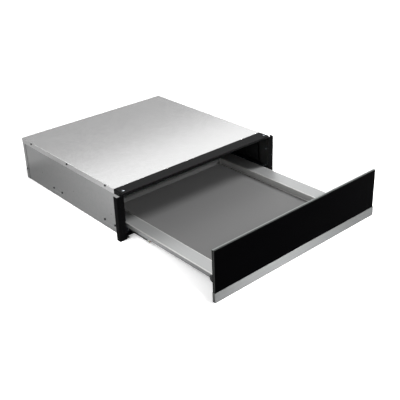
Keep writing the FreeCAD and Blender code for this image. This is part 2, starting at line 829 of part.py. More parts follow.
def make_gland_nut():
    """Nut that holds the cord gland from inside the rear panel."""
    start = V(gland_offset, compartment_back - gland_nut_length, gland_height)
    nut = hexagon(start, ALONG_Y, gland_flange, gland_nut_length)
    hole = rod(start - ALONG_Y, ALONG_Y, gland_thread_radius + fit / 5, gland_nut_length + 2)
    return drilled(nut, [hole])


# --- Runners -----------------------------------------------------------------------------
def runner_screw_points(way):
    """Seats of the screws that hold a runner's bracket, on the casing's side."""
    x = way * (side_outer - emboss_depth)
    return [V(x, front_y + spot, runner_height) for spot in runner_screw_spots]


def channel(way, back, mouth, half, thickness, span):
    """Runner member: a channel with its back at the given distance, open towards its mouth."""
    inward = math.copysign(1, back - mouth)
    x = back - inward * thickness / 2
    flange = half - thickness / 2
    path = [(way * mouth, runner_height - flange), (way * x, runner_height - flange),
            (way * x, runner_height + flange), (way * mouth, runner_height + flange)]
    return folded(ALONG_Y, span, path, thickness, thickness * 0.8)


def make_bracket(way):
    """Channel bracket that carries the fixed runner member off the casing's side."""
    outer = side_inner - bracket_sheet / 2
    inner = upstand_inner + bracket_sheet / 2
    web = bracket_bottom + bracket_sheet / 2
    top = runner_height + fixed_half
    path = [(way * outer, top), (way * outer, web), (way * inner, web), (way * inner, top)]
    bracket = folded(ALONG_Y, (runner_front, runner_front + runner_length), path, bracket_sheet)
    holes = [rod(point, ALONG_X * -way, screw_hole, 4 * sheet) for point in runner_screw_points(way)]
    return drilled(bracket, holes)


def make_fixed_member(way):
    """Runner member that stays in the casing."""
    return channel(way, fixed_back, fixed_mouth, fixed_half, race_sheet,
                   (runner_front, runner_front + runner_length))


def make_middle_member(way):
    """Runner member between the other two: it moves half as far as the drawer."""
    return channel(way, middle_back, fixed_mouth, middle_half, middle_sheet,
                   (middle_front, middle_front + middle_length))


def make_drawer_member(way):
    """Runner member on the drawer, screwed to the tray's rail."""
    member = channel(way, drawer_member_back, drawer_member_mouth, inner_half, race_sheet,
                     (tray_front, tray_rear))
    holes = [rod(point, ALONG_X * way, screw_hole, 4 * sheet) for point in member_screw_points(way)]
    return drilled(member, holes)


def member_screw_points(way):
    """Seats of the screws from the tray's rail into the drawer's runner member."""
    x = way * (drawer_member_back - rail_sheet)
    spots = [tray_front + tray_length * share for share in (0.12, 0.5, 0.88)]
    return [V(x, spot, runner_height) for spot in spots]


def make_cage(way, side, half, mouth, start, length):
    """Ball cage with its balls: a thin channel between two races, pierced for two rows."""
    level = half + ball_gap / 2
    path = [(way * mouth, runner_height - level), (way * side, runner_height - level),
            (way * side, runner_height + level), (way * mouth, runner_height + level)]
    cage = folded(ALONG_Y, (start, start + length), path, cage_sheet, 2 * cage_sheet)
    ball_x = way * (mouth + side) / 2
    count = int(length / ball_spacing)
    first = start + (length - ball_spacing * (count - 1)) / 2
    pockets = []
    balls = []
    for index in range(count):
        y = first + ball_spacing * index
        for z in (runner_height - level, runner_height + level):
            pockets.append(rod(V(ball_x, y, z - ball_gap / 2), ALONG_Z, ball_pocket / 2, ball_gap))
            balls.append(Part.makeSphere(ball_diameter / 2, V(ball_x, y, z)))
    return Part.makeCompound([drilled(cage, pockets)] + balls)


def make_outer_cage(way):
    """Ball cage between the fixed and the middle member."""
    return make_cage(way, outer_cage_side, middle_half, fixed_mouth + cage_play,
                     front_y + outer_cage_start, outer_cage_length)


def make_inner_cage(way):
    """Ball cage between the middle member and the drawer's."""
    return make_cage(way, inner_cage_side, inner_half, drawer_member_back + race_sheet + cage_play,
                     front_y + inner_cage_start, inner_cage_length)


# --- Drawer front ------------------------------------------------------------------------
def make_glass():
    """Black glass panel with its edges ground off."""
    glass = block((-glass_half, glass_half), (panel_y, carrier_y), (glass_bottom, front_top))
    edges = [edge for edge in glass.Edges if edge.BoundBox.YMax < panel_y + glass_edge]
    return glass.makeChamfer(glass_edge, edges)


def make_carrier():
    """Shallow steel pan that the glass is bonded to."""
    half = glass_half
    bottom = front_bottom + trim_sheet
    pan = block((-half, half), (carrier_y, carrier_back), (bottom, front_top))
    hollow = block((-half + carrier_sheet, half - carrier_sheet),
                   (carrier_plate_back, carrier_back + carrier_depth),
                   (bottom + carrier_sheet, front_top - carrier_sheet))
    holes = [rod(point, -ALONG_Y, screw_hole, 2 * front_bracket_sheet)
             for name, way in SIDES for point in bracket_foot_points(way)]
    return drilled(pan, [hollow] + holes)


def make_trim():
    """Brushed steel strip along the front's lower edge, wrapped round its ends and underside."""
    half = glass_half + trim_sheet
    span = (panel_y - trim_sheet, carrier_back)
    bar = block((-half, half), span, (front_bottom, front_bottom + trim_height))
    inside = block((-glass_half, glass_half), (panel_y, carrier_back + trim_sheet),
                   (front_bottom + trim_sheet, front_bottom + 2 * trim_height))
    return bar.cut(inside)


def make_stiffener():
    """Channel behind the carrier that the tray is fixed to."""
    near = carrier_plate_back
    far = stiffener_back - stiffener_sheet / 2
    low = stiffener_bottom + stiffener_sheet / 2
    high = stiffener_top - stiffener_sheet / 2
    path = [(near, high), (far, high), (far, low), (near, low)]
    span = (-stiffener_half_width, stiffener_half_width)
    return folded(ALONG_X, span, path, stiffener_sheet)


def bracket_foot_points(way):
    """Seats of the screws from a front bracket's foot into the carrier."""
    x = tray_outer + front_bracket_foot * 0.6
    seat = carrier_plate_back + front_bracket_sheet
    offset = front_bracket_height * 0.25
    return [V(way * x, seat, front_bracket_middle + step * offset) for step in (-1, 1)]


def bracket_side_points(way):
    """Seats of the screws from a front bracket into the tray's outer fold."""
    x = way * (tray_outer + front_bracket_sheet)
    end = carrier_plate_back + front_bracket_reach - front_bracket_height / 2
    spots = (end, carrier_plate_back + front_bracket_reach * 0.4)
    return [V(x, spot, fold_screw_height) for spot in spots]


def make_front_bracket(way):
    """Angle between the carrier and the tray's outer fold, round at its rear end."""
    low = front_bracket_middle - front_bracket_height / 2
    high = front_bracket_middle + front_bracket_height / 2
    x = tray_outer + front_bracket_sheet / 2
    y = carrier_plate_back + front_bracket_sheet / 2
    end = carrier_plate_back + front_bracket_reach - front_bracket_height / 2
    path = [(way * x, end), (way * x, y), (way * (x + front_bracket_foot), y)]
    angle = folded(ALONG_Z, (low, high), path, front_bracket_sheet)
    tip = rod(V(way * tray_outer, end, front_bracket_middle), ALONG_X * way,
              front_bracket_height / 2, front_bracket_sheet)
    holes = [rod(point + ALONG_X * way, ALONG_X * -way, screw_hole, 4 * front_bracket_sheet)
             for point in bracket_side_points(way)]
    holes += [rod(point + ALONG_Y, -ALONG_Y, screw_hole, 4 * front_bracket_sheet)
              for point in bracket_foot_points(way)]
    return drilled(joined(angle, tip), holes)


def make_buffers():
    """Rubber buffers on the carrier, which meet the frame's posts."""
    x = (side_outer + post_outer) / 2
    length = carrier_back - carrier_plate_back + buffer_reach
    return [rod(V(way * x, carrier_plate_back, height), ALONG_Y, buffer_radius, length)
            for name, way in SIDES for height in buffer_heights]


# --- Tray --------------------------------------------------------------------------------
def make_tray():
    """Pressed steel tray: floor, low walls, wide side rims and their outer folds."""
    half = tray_sheet / 2
    wall = tray_inner + half
    fold = tray_outer - half
    floor = tray_floor - half
    rim_in = rim_inner_height - half
    rim_out = rim_outer_height - half
    right = [(wall, floor), (wall, rim_in), (fold, rim_out), (fold, rim_fold_bottom)]
    left = [(-x, z) for x, z in reversed(right)]
    pan = folded(ALONG_Y, (tray_front, tray_rear), left + right, tray_sheet, tray_bend)
    ends = [tray_end((tray_front, tray_front + tray_sheet)), tray_end((tray_rear - tray_sheet, tray_rear))]
    flange = block((-wall, wall), (tray_rear - half, tray_rear + tray_rear_flange),
                   (tray_wall_top - tray_sheet, tray_wall_top))
    holes = [rod(point, ALONG_X * -way, screw_hole, 4 * tray_sheet)
             for name, way in SIDES for point in bracket_side_points(way)]
    return drilled(joined(pan, *ends, flange), holes)


def tray_end(span):
    """Front or rear wall of the tray, its outline following the middle of the pan's sheet."""
    half = tray_sheet / 2
    wall = block((-tray_inner - half, tray_inner + half), span, (tray_floor - half, tray_wall_top))
    corners = [edge for edge in wall.Edges
               if is_along(edge, ALONG_Y) and edge.BoundBox.ZMax < tray_floor]
    return wall.makeFillet(tray_bend, corners)


def make_mat():
    """Non-slip silicone mat in the tray, with a lip at its rear end."""
    half = tray_inner - mat_gap
    rear = tray_rear - tray_sheet - mat_gap
    mat = block((-half, half), (tray_front + tray_sheet + mat_gap, rear), (tray_floor, mat_top))
    mat = rounded(mat, mat_corner, ALONG_Z)
    top = [edge for edge in mat.Edges if edge.BoundBox.ZMin > mat_top - mat_thickness / 4]
    mat = mat.makeFillet(mat_thickness * 0.3, top)
    lip = block((mat_corner - half, half - mat_corner), (rear - mat_thickness, rear),
                (mat_top - mat_thickness / 2, mat_top + mat_lip_height))
    corners = [edge for edge in lip.Edges
               if edge.BoundBox.ZMin > mat_top + mat_lip_height / 2 and edge.BoundBox.XLength < mat_thickness / 4]
    return mat.fuse(lip.makeFillet(mat_lip_corner, corners)).removeSplitter()


def make_tray_rail(way):
    """Channel between the tray's wall and the drawer's runner member."""
    near = tray_inner + tray_sheet + rail_sheet / 2
    far = drawer_member_back - rail_sheet / 2
    web = tray_rail_bottom + rail_sheet / 2
    path = [(way * near, tray_rail_top - tray_bend), (way * near, web), (way * far, web),
            (way * far, tray_rail_top)]
    rail = folded(ALONG_Y, (tray_front, tray_rear), path, rail_sheet)
    holes = [rod(point, ALONG_X * way, screw_hole, 2 * rail_sheet)
             for point in member_screw_points(way)]
    return drilled(rail, holes)


# --- Latch -------------------------------------------------------------------------------
def make_latch_frame():
    """Folded frame that holds the latch's pivot, on the base against the rear panel."""
    back = compartment_back - latch_sheet / 2
    low = base_top + latch_sheet / 2
    high = latch_height - latch_sheet / 2
    near = compartment_back - latch_depth
    path = [(near, low), (back, low), (back, high), (near, high)]
    frame = folded(ALONG_X, (latch_left, latch_right), path, latch_sheet)
    hole = rod(V(latch_pivot_offset, pivot_y, 0), ALONG_Z, latch_pivot_radius + fit / 5, latch_height * 2)
    return drilled(frame, [hole])


def make_pivot():
    """Pivot pin of the latch hook, with a head on top of the frame."""
    foot = V(latch_pivot_offset, pivot_y, base_top + cover_gap)
    pin = rod(foot, ALONG_Z, latch_pivot_radius, latch_height - foot.z)
    head = rod(V(foot.x, foot.y, latch_height), ALONG_Z, latch_pivot_radius * 1.6, latch_sheet)
    return joined(pin, head)


def make_hook():
    """Latch hook, swung open: its arm passes in front of the striker's pin when shut."""
    pivot = V(latch_pivot_offset, pivot_y, 0)
    low = base_top + latch_sheet + pivot_fit * 4
    high = latch_height - latch_sheet - pivot_fit * 4
    hub = rod(V(pivot.x, pivot.y, low), ALONG_Z, hook_hub_radius, high - low)
    near = pivot_y - striker_pin_radius - hook_play
    far = near - hook_arm_width
    tip = -striker_pin_radius * 2
    arm = block((tip, pivot.x), (far, near), (hook_arm_low, hook_arm_high))
    arm = rounded(arm, hook_arm_width * 0.3, ALONG_Z)
    root = block((pivot.x - hook_hub_radius, pivot.x + hook_hub_radius), (far, pivot_y),
                 (hook_arm_low, hook_arm_high))
    root = rounded(root, hook_arm_width * 0.3, ALONG_Z)
    hook = joined(hub, arm, root)
    bore = rod(V(pivot.x, pivot.y, 0), ALONG_Z, latch_pivot_radius + pivot_fit, 2 * latch_height)
    return turned(drilled(hook, [bore]), pivot, ALONG_Z, hook_open_angle)


def make_striker():
    """Striker on the tray's rear wall: a tongue with a pin that the hook catches."""
    near = tray_rear + latch_sheet / 2
    path = [(near, striker_top), (near, striker_height), (tray_rear + striker_tongue, striker_height)]
    half = striker_width / 2
    plate = folded(ALONG_X, (-half, half), path, latch_sheet)
    pin = rod(V(0, pin_y, hook_arm_low + hook_play), ALONG_Z, striker_pin_radius,
              striker_height - hook_arm_low - hook_play)
    return joined(plate, pin)


# --- Controls ----------------------------------------------------------------------------
knob_x = console_left + knob_offset
switch_x = console_left + switch_offset
lens_x = console_left + lens_offset
rocker_axis_z = console_top - console_wall - 1.0
rocker_centre = V(switch_x, console_middle, rocker_axis_z)


def make_console():
    """Moulded console on the back of the front, open towards it."""
    span = (console_left, console_left + console_width)
    body = block(span, (console_front, console_back), (console_bottom, console_top))
    body = rounded(body, console_wall, ALONG_X)
    hollow = block((span[0] + console_wall, span[1] - console_wall),
                   (console_front, console_back - console_wall),
                   (console_bottom + console_wall, console_top - console_wall))
    top = (console_top - 2 * console_wall, console_top + console_wall)
    knob_hole = rod(V(knob_x, console_middle, top[0]), ALONG_Z, knob_shaft_radius + 3 * fit, top[1])
    lens_hole = rod(V(lens_x, console_middle, top[0]), ALONG_Z, lens_radius + fit, top[1])
    switch_hole = block((switch_x - rocker_opening / 2, switch_x + rocker_opening / 2),
                        (console_middle - rocker_slot / 2, console_middle + rocker_slot / 2), top)
    return drilled(body, [hollow, knob_hole, lens_hole, switch_hole])


def make_thermostat():
    """Thermostat under the console's top, with a bore for the knob's shaft."""
    wide, deep, high = thermostat_size
    top = console_top - console_wall
    body = block((knob_x - wide / 2, knob_x + wide / 2),
                 (console_middle - deep / 2, console_middle + deep / 2), (top - high, top))
    bore = rod(V(knob_x, console_middle, top - knob_shaft_length), ALONG_Z,
               knob_shaft_radius + pivot_fit, knob_shaft_length)
    return drilled(rounded(body, 1.5, ALONG_Z), [bore])


def make_knob():
    """Temperature knob with a grip bar, a pointer line and its shaft."""
    base = V(knob_x, console_middle, console_top + knob_lift)
    skirt = Part.makeCone(knob_radius, knob_radius * 0.92, knob_height * 0.35, base, ALONG_Z)
    core = Part.makeCone(knob_radius * 0.86, knob_radius * 0.8, knob_height, base, ALONG_Z)
    flute = knob_radius * 0.52
    flutes = []
    for way in (-1, 1):
        centre = base + V(way * (knob_radius * 0.86 + flute * 0.32), 0, knob_height * 0.35)
        flutes.append(rod(centre, ALONG_Z, flute, knob_height))
    pointer = block((base.x - 0.6, base.x + 0.6), (base.y + knob_radius * 0.2, base.y + knob_radius),
                    (base.z + knob_height - 0.8, base.z + knob_height + 1))
    top = console_top - console_wall
    shaft_start = top - knob_shaft_length + pivot_fit * 4
    shaft = rod(V(base.x, base.y, shaft_start), ALONG_Z, knob_shaft_radius, base.z + 2 - shaft_start)
    return joined(skirt, drilled(core, flutes), shaft).cut(pointer)


def make_switch_body():
    """Switch body under the console's top: a well with bearings for the rocker's axle."""
    top = console_top - console_wall
    half_x = rocker_opening / 2 + switch_wall
    half_y = rocker_slot / 2 + switch_wall
    body = block((switch_x - half_x, switch_x + half_x), (console_middle - half_y, console_middle + half_y),
                 (top - switch_depth, top))
    well = block((switch_x - rocker_opening / 2, switch_x + rocker_opening / 2),
                 (console_middle - rocker_slot / 2, console_middle + rocker_slot / 2),
                 (top - switch_depth + switch_wall, top))
    bearing = rod(rocker_centre - ALONG_Y * half_y, ALONG_Y, rocker_axle_radius + pivot_fit, 2 * half_y)
    return drilled(body, [well, bearing])


def make_rocker():
    """Rocker of the on-off switch, tipped to its off side, with a round back and an axle."""
    x, z = rocker_centre.x, rocker_centre.z
    half = rocker_length / 2
    high = console_top + rocker_rise - z
    waist = high - rocker_rise * 0.8
    outline = [(x - half, z), (x - half, z + high), (x, z + waist), (x + half, z + high), (x + half, z)]
    span = (console_middle - rocker_width / 2, console_middle + rocker_width / 2)
    key = prism(ALONG_Y, span, outline)
    back = rod(V(x, span[0], z), ALONG_Y, rocker_depth, span[1] - span[0])
    reach = rocker_slot / 2 + switch_wall
    axle = rod(V(x, console_middle - reach, z), ALONG_Y, rocker_axle_radius, 2 * reach)
    return turned(joined(key, back, axle), rocker_centre, ALONG_Y, -rocker_tilt)


def make_lens():
    """Lens of the indicator lamp."""
    foot = V(lens_x, console_middle, console_top - console_wall)
    return joined(rod(foot, ALONG_Z, lens_radius, console_wall),
                  Part.makeCone(lens_radius, lens_radius * 0.7, lens_rise,
                                foot + ALONG_Z * console_wall, ALONG_Z))


# --- Fasteners ---------------------------------------------------------------------------
def all_screws(points, out, length=screw_length):
    """One screw per seat on each side; out turns a side's sign into the head's direction."""
    return [screw(point, out(way), length) for name, way in SIDES for point in points(way)]


def outward(way):
    """Direction out of the casing on the given side."""
    return ALONG_X * way


def inward(way):
    """Direction towards the middle from the given side."""
    return ALONG_X * -way


def upward(way):
    """Direction upwards, whatever the side."""
    return ALONG_Z


def rearward(way):
    """Direction towards the rear, whatever the side."""
    return ALONG_Y


def build():
    """Every node of the drawer by name."""
    nodes = {
        "top_cover": make_top_cover(),
        "base_panel": make_base_panel(),
        "rear_panel": make_rear_panel(),
        "inner_shell": make_inner_shell(),
        "insulation_blanket": make_blanket(),
        "front_top_bar": make_top_bar(),
        "front_bottom_rail": make_bottom_rail(),
        "rear_baffle": make_baffle(),
        "fan_impeller": make_impeller(),
        "fan_shaft": make_shaft(),
        "fan_motor": make_motor(),
        "motor_strap": make_motor_strap(),
        "heater_element": make_heater(),
        "thermal_cutout": make_cutout(),
        "terminal_block": make_terminal_block(),
        "cord_gland": make_gland(),
        "cord_gland_nut": make_gland_nut(),
        "front_glass": make_glass(),
        "front_carrier": make_carrier(),
        "front_trim": make_trim(),
        "front_stiffener": make_stiffener(),
        "front_buffers": Part.makeCompound(make_buffers()),
        "drawer_tray": make_tray(),
        "tray_mat": make_mat(),
        "latch_frame": make_latch_frame(),
        "latch_pivot": make_pivot(),
        "latch_hook": make_hook(),
        "latch_striker": make_striker(),
        "control_console": make_console(),
        "thermostat": make_thermostat(),
        "temperature_knob": make_knob(),
        "switch_body": make_switch_body(),
        "switch_rocker": make_rocker(),
        "indicator_lens": make_lens(),
    }
    for name, way in SIDES:
        nodes["side_panel_" + name] = make_side_panel(way)
        nodes["front_post_" + name] = make_post(way)
        nodes["runner_bracket_" + name] = make_bracket(way)
        nodes["runner_fixed_" + name] = make_fixed_member(way)
        nodes["runner_middle_" + name] = make_middle_member(way)
        nodes["runner_drawer_" + name] = make_drawer_member(way)
        nodes["ball_cage_outer_" + name] = make_outer_cage(way)
        nodes["ball_cage_inner_" + name] = make_inner_cage(way)
        nodes["tray_rail_" + name] = make_tray_rail(way)
        nodes["front_bracket_" + name] = make_front_bracket(way)
    groups = {
        "cover_screws": all_screws(cover_screw_points, outward)
        + all_screws(rear_screw_points, outward),
        "runner_screws": all_screws(runner_screw_points, outward),
        "post_screws": all_screws(post_screw_points, outward)
        + all_screws(bar_screw_points, upward),
        "shell_screws": all_screws(shell_screw_points, inward, shell_screw_length),
        "member_screws": all_screws(member_screw_points, inward, short_screw_length),
        "bracket_screws": all_screws(bracket_side_points, outward, short_screw_length)
        + all_screws(bracket_foot_points, rearward, short_screw_length),
    }
    for name, screws in groups.items():
        nodes[name] = Part.makeCompound(screws)
    return nodes


def main():
    """Write one STEP file per node into parts/."""
    os.makedirs("parts", exist_ok=True)
    for name, shape in sorted(build().items()):
        shape.exportStep("parts/" + name + ".step")
        print(name, len(shape.Solids), "solids", "valid" if shape.isValid() else "INVALID")


main()
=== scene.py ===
"""Looks of a built-in warming drawer, pulled open: finishes for the CAD nodes, and detail pieces.

Everything is in metres in the CAD model's frame. X runs along the front, Y towards the rear, Z up,
and the origin is under the middle of the casing. A name that ends in _mm holds millimetres.
"""

import json
import logging
import math
from dataclasses import dataclass, field
from enum import Enum
from typing import Iterator, Sequence

import bmesh
import bpy
from mathutils import Matrix, Vector
from mathutils.bvhtree import BVHTree


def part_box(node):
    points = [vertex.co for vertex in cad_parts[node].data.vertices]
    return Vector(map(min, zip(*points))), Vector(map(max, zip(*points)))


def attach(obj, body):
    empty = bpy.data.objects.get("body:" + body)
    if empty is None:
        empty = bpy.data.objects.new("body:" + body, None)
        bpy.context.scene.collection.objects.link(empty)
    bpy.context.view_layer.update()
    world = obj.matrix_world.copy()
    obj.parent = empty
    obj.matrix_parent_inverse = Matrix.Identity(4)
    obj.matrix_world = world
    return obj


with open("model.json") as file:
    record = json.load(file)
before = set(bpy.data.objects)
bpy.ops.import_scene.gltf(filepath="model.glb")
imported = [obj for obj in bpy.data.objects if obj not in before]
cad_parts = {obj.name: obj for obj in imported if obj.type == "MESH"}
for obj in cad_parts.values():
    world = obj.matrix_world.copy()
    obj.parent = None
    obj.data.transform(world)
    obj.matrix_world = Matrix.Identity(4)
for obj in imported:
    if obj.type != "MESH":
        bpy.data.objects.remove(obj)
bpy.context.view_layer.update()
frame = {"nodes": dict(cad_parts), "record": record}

MM = 0.001
IMAGE_SIDE = 400
JOIN_MM = 0.002          # mesh points nearer than this are one
SHARP_ANGLE = 0.6        # radians between two faces from which their edge is rounded
CAPITAL_SHARE = 0.7      # height of a capital letter in the font's size
LOBE_POINTS = 6
DROP_MM = 10.0           # from where marks fall onto a surface
WHOLE = (0.0, 1.0)
WEAR_SAMPLES = 6         # rays that look for a worn edge
ROUND_SAMPLES = 3        # rays that round an edge in the shading
EDGE_SPAN = (0.98, 0.8)  # cosine of the turn of the normal at an edge, from unworn to worn through
UP = Vector((0, 0, 1))
LOG = logging.getLogger("warming_drawer")
Colour = tuple[float, float, float, float]
Profile = tuple[tuple[float, float], ...]
Socket = bpy.types.NodeSocket
Tree = bpy.types.NodeTree
Mesh = bmesh.types.BMesh
Piece = bpy.types.Object


# --- Helpers ---
class Side(Enum):
    """Left and right of the drawer, with the sign of X there."""

    LEFT = -1
    RIGHT = 1

    @property
    def word(self) -> str:
        """Name ending used by the CAD nodes."""
        return self.name.lower()


def linear(code: str) -> Colour:
    """Turn an sRGB hex colour into linear RGBA.

    Args:
        code: Six hex digits.

    Returns:
        Linear red, green, blue and full alpha.
    """
    channels = [int(code[i:i + 2], 16) / 255 for i in (0, 2, 4)]
    red, green, blue = (c / 12.92 if c <= 0.04045 else ((c + 0.055) / 1.055) ** 2.4 for c in channels)
    return red, green, blue, 1.0


def add_node(tree: Tree, kind: str, inputs: dict | None = None, **settings: object) -> bpy.types.Node:
    """Add a shader node.

    Args:
        tree: Node tree that gets it.
        kind: Blender's name of the node's class.
        inputs: Values or sockets for its inputs, by name or index.
        **settings: Properties of the node, set before its inputs.

    Returns:
        The new node.
    """
    node = tree.nodes.new(kind)
    for name, value in settings.items():
        setattr(node, name, value)
    for name, value in (inputs or {}).items():
        if isinstance(value, Socket):
            tree.links.new(value, node.inputs[name])
        else:
            node.inputs[name].default_value = value
    return node


def maths(tree: Tree, operation: str, *values: Socket | float, clamp: bool = False) -> Socket:
    """Calculate with one to three values. A clamped result stays between 0 and 1."""
    return add_node(tree, "ShaderNodeMath", dict(enumerate(values)), operation=operation,
                    use_clamp=clamp).outputs[0]


def ramp(tree: Tree, value: Socket, low: Socket | float, high: Socket | float,
         span: tuple[float, float] = (0.3, 0.7)) -> Socket:
    """Map a value onto new limits: low at the span's start, high at its end."""
    inputs = {"Value": value, "From Min": span[0], "From Max": span[1], "To Min": low, "To Max": high}
    return add_node(tree, "ShaderNodeMapRange", inputs).outputs[0]


def mixed(tree: Tree, factor: Socket, first: Socket | Colour, second: Socket | Colour) -> Socket:
    """Mix two colours: the first at factor 0, the second at factor 1."""
    inputs = {"Factor": factor, "A": first, "B": second}
    return add_node(tree, "ShaderNodeMix", inputs, data_type="RGBA").outputs["Result"]


def noise(tree: Tree, spot: Socket, **inputs: float) -> Socket:
    """Value of a noise texture at a place, with its inputs by name in small letters."""
    named = {name.capitalize(): value for name, value in inputs.items()}
    return add_node(tree, "ShaderNodeTexNoise", {"Vector": spot, "Scale": 1.0, **named}).outputs["Fac"]


def axes(tree: Tree, kind: str = "Object") -> Sequence[Socket]:
    """X, Y and Z of the shaded point, in the kind of coordinates that Blender gives that name."""
    where = add_node(tree, "ShaderNodeTexCoord")
    return add_node(tree, "ShaderNodeSeparateXYZ", {0: where.outputs[kind]}).outputs


# --- Finishes ---
@dataclass(frozen=True)
class Finish:
    """A real surface. Subclasses draw the pattern that its making leaves.

    The pattern is one factor from 0 to 1 that moves the colour, the roughness and the relief.
    """

    name: str
    dark: str
    pale: str
    roughness: tuple[float, float] = (0.4, 0.5)
    metallic: float = 0.0
    scale_mm: float = 1.0
    relief_mm: float = 0.0
    edge_mm: float = 0.35
    edge_pale: float = 0.0
    edge_tint: str = "d8d8d6"
    stretch: tuple[float, float, float] = (1.0, 1.0, 1.0)
    shader: dict[str, float] = field(default_factory=dict)

    def place(self, tree: Tree) -> Socket:
        """Object coordinates in units of the pattern's scale, times its stretch along each axis.

        Args:
            tree: Material's node tree.

        Returns:
            Vector socket.
        """
        where = add_node(tree, "ShaderNodeTexCoord")
        scale = Vector(1 / (self.scale_mm * MM * times) for times in self.stretch)
        return add_node(tree, "ShaderNodeMapping",
                        {"Vector": where.outputs["Object"], "Scale": scale}).outputs[0]

    def pattern(self, tree: Tree) -> Socket:
        """Fine and coarse noise together, as on a plain moulded or rolled surface."""
        return noise(tree, self.place(tree), detail=4.0, roughness=0.6)

    def material(self) -> bpy.types.Material:
        """The finish's material, made once.

        Returns:
            Blender material with a procedural node tree.
        """
        known = bpy.data.materials.get(self.name)
        if known:
            return known
        made = bpy.data.materials.new(self.name)
        made.use_nodes = True
        tree = made.node_tree
        tree.nodes.clear()
        factor = self.pattern(tree)
        colour = mixed(tree, ramp(tree, factor, 0.0, 1.0), linear(self.dark), linear(self.pale))
        inputs = {"Base Color": self.worn(tree, colour), "Roughness": ramp(tree, factor, *self.roughness),
                  "Metallic": self.metallic, "Normal": self.relief(tree, factor), **self.shader}
        shader = add_node(tree, "ShaderNodeBsdfPrincipled", inputs).outputs[0]
        add_node(tree, "ShaderNodeOutputMaterial", {"Surface": self.surface(tree, shader)})
        return made

    def worn(self, tree: Tree, colour: Socket) -> Socket:
        """Lighten the colour along sharp edges, where handling has rubbed them.

        Args:
            tree: Material's node tree.
            colour: Colour away from the edges.

        Returns:
            Colour socket.
        """
        if not self.edge_pale:
            return colour
        near = add_node(tree, "ShaderNodeBevel", {"Radius": self.edge_mm * MM}, samples=WEAR_SAMPLES)
        own = add_node(tree, "ShaderNodeNewGeometry")
        turn = add_node(tree, "ShaderNodeVectorMath", {0: near.outputs[0], 1: own.outputs["Normal"]},
                        operation="DOT_PRODUCT").outputs["Value"]
        edge = ramp(tree, turn, 0.0, self.edge_pale, EDGE_SPAN)
        return mixed(tree, edge, colour, linear(self.edge_tint))

    def relief(self, tree: Tree, factor: Socket) -> Socket:
        """Normal with the pattern's relief and slightly rounded edges.

        Args:
            tree: Material's node tree.
            factor: Pattern that stands for the height.

        Returns:
            Normal socket.
        """
        rounded = add_node(tree, "ShaderNodeBevel", {"Radius": self.edge_mm * MM}, samples=ROUND_SAMPLES)
        if not self.relief_mm:
            return rounded.outputs[0]
        return add_node(tree, "ShaderNodeBump", {"Height": factor, "Distance": self.relief_mm * MM,
                                                 "Strength": 1.0, "Normal": rounded.outputs[0]}).outputs[0]

    def surface(self, tree: Tree, shader: Socket) -> Socket:
        """Shader that the surface shows in the end: here the finish's own."""
        return shader


@dataclass(frozen=True)
class Spangled(Finish):
    """Hot-dip galvanised sheet: zinc crystals of many sizes that mirror the light differently."""

    warp: float = 0.9
    warp_scale: float = 1.3
    cloud: float = 0.45
    cloud_scale: float = 0.12

    def pattern(self, tree: Tree) -> Socket:
        """Crystal cells with clouds of darker zinc over them.

        Args:
            tree: Material's node tree.

        Returns:
            Value socket.
        """
        spot = self.place(tree)
        drift = add_node(tree, "ShaderNodeTexNoise",
                         {"Vector": spot, "Scale": self.warp_scale, "Detail": 2.0})
        moved = add_node(tree, "ShaderNodeVectorMath",
                         {0: drift.outputs["Color"], 1: Vector((self.warp,) * 3), 2: spot},
                         operation="MULTIPLY_ADD")
        cells = add_node(tree, "ShaderNodeTexVoronoi", {"Vector": moved.outputs[0], "Scale": 1.0})
        value = add_node(tree, "ShaderNodeSeparateColor", {0: cells.outputs["Color"]})
        clouds = noise(tree, spot, scale=self.cloud_scale, detail=3.0)
        return add_node(tree, "ShaderNodeMix",
                        {"Factor": self.cloud, "A": value.outputs[0], "B": clouds}).outputs[0]


@dataclass(frozen=True)
class Brushed(Finish):
    """Sheet ground along X with a fine belt: long scratches across which the light spreads."""

    stretch: tuple[float, float, float] = (160.0, 1.0, 1.0)

    def pattern(self, tree: Tree) -> Socket:
        """Scratches stretched along X. Real ones are about 0.1 mm apart and are drawn coarser here."""
        return noise(tree, self.place(tree), detail=5.0, roughness=0.7)


@dataclass(frozen=True)
class Rolled(Finish):
    """Cold-rolled steel tray: faint rolling lines along Y and a satin haze."""

    stretch: tuple[float, float, float] = (1.0, 60.0, 1.0)

    def pattern(self, tree: Tree) -> Socket:
        """Noise stretched along Y."""
        return noise(tree, self.place(tree), detail=4.0, roughness=0.65)


@dataclass(frozen=True)
class Fibrous(Finish):
    """Mineral wool: matted fibres that lie in all directions."""

    def pattern(self, tree: Tree) -> Socket:
        """Strongly warped noise, which reads as strands."""
        return noise(tree, self.place(tree), detail=8.0, roughness=0.8, distortion=2.5)


def upper_edge(tree: Tree, above_mm: float) -> Socket:
    """Mask the faces that look up, above a height.

    Args:
        tree: Node tree to add to.
        above_mm: Height over the frame's zero.

    Returns:
        Socket that is 1 on those faces.
    """
    own = add_node(tree, "ShaderNodeNewGeometry")
    tilt = add_node(tree, "ShaderNodeSeparateXYZ", {0: own.outputs["True Normal"]}).outputs["Z"]
    high = maths(tree, "GREATER_THAN", axes(tree)["Z"], above_mm * MM)
    return maths(tree, "MULTIPLY", tilt, high, clamp=True)


@dataclass(frozen=True)
class CutSheet(Finish):
    """Coated sheet whose upper edge was cut after coating: the faces along it that look up get the pale
    colour of bare metal, a painted highlight, while its other faces stay black.
    """

    # pale colour of the upward faces along the cut top edge: bare metal with a painted highlight
    bare: str = "8e9290"
    above_mm: float = 125.0

    def worn(self, tree: Tree, colour: Socket) -> Socket:
        """Lay the pale colour of bare metal and painted highlight on the upper edge's faces that look up."""
        return mixed(tree, upper_edge(tree, self.above_mm), colour, linear(self.bare))


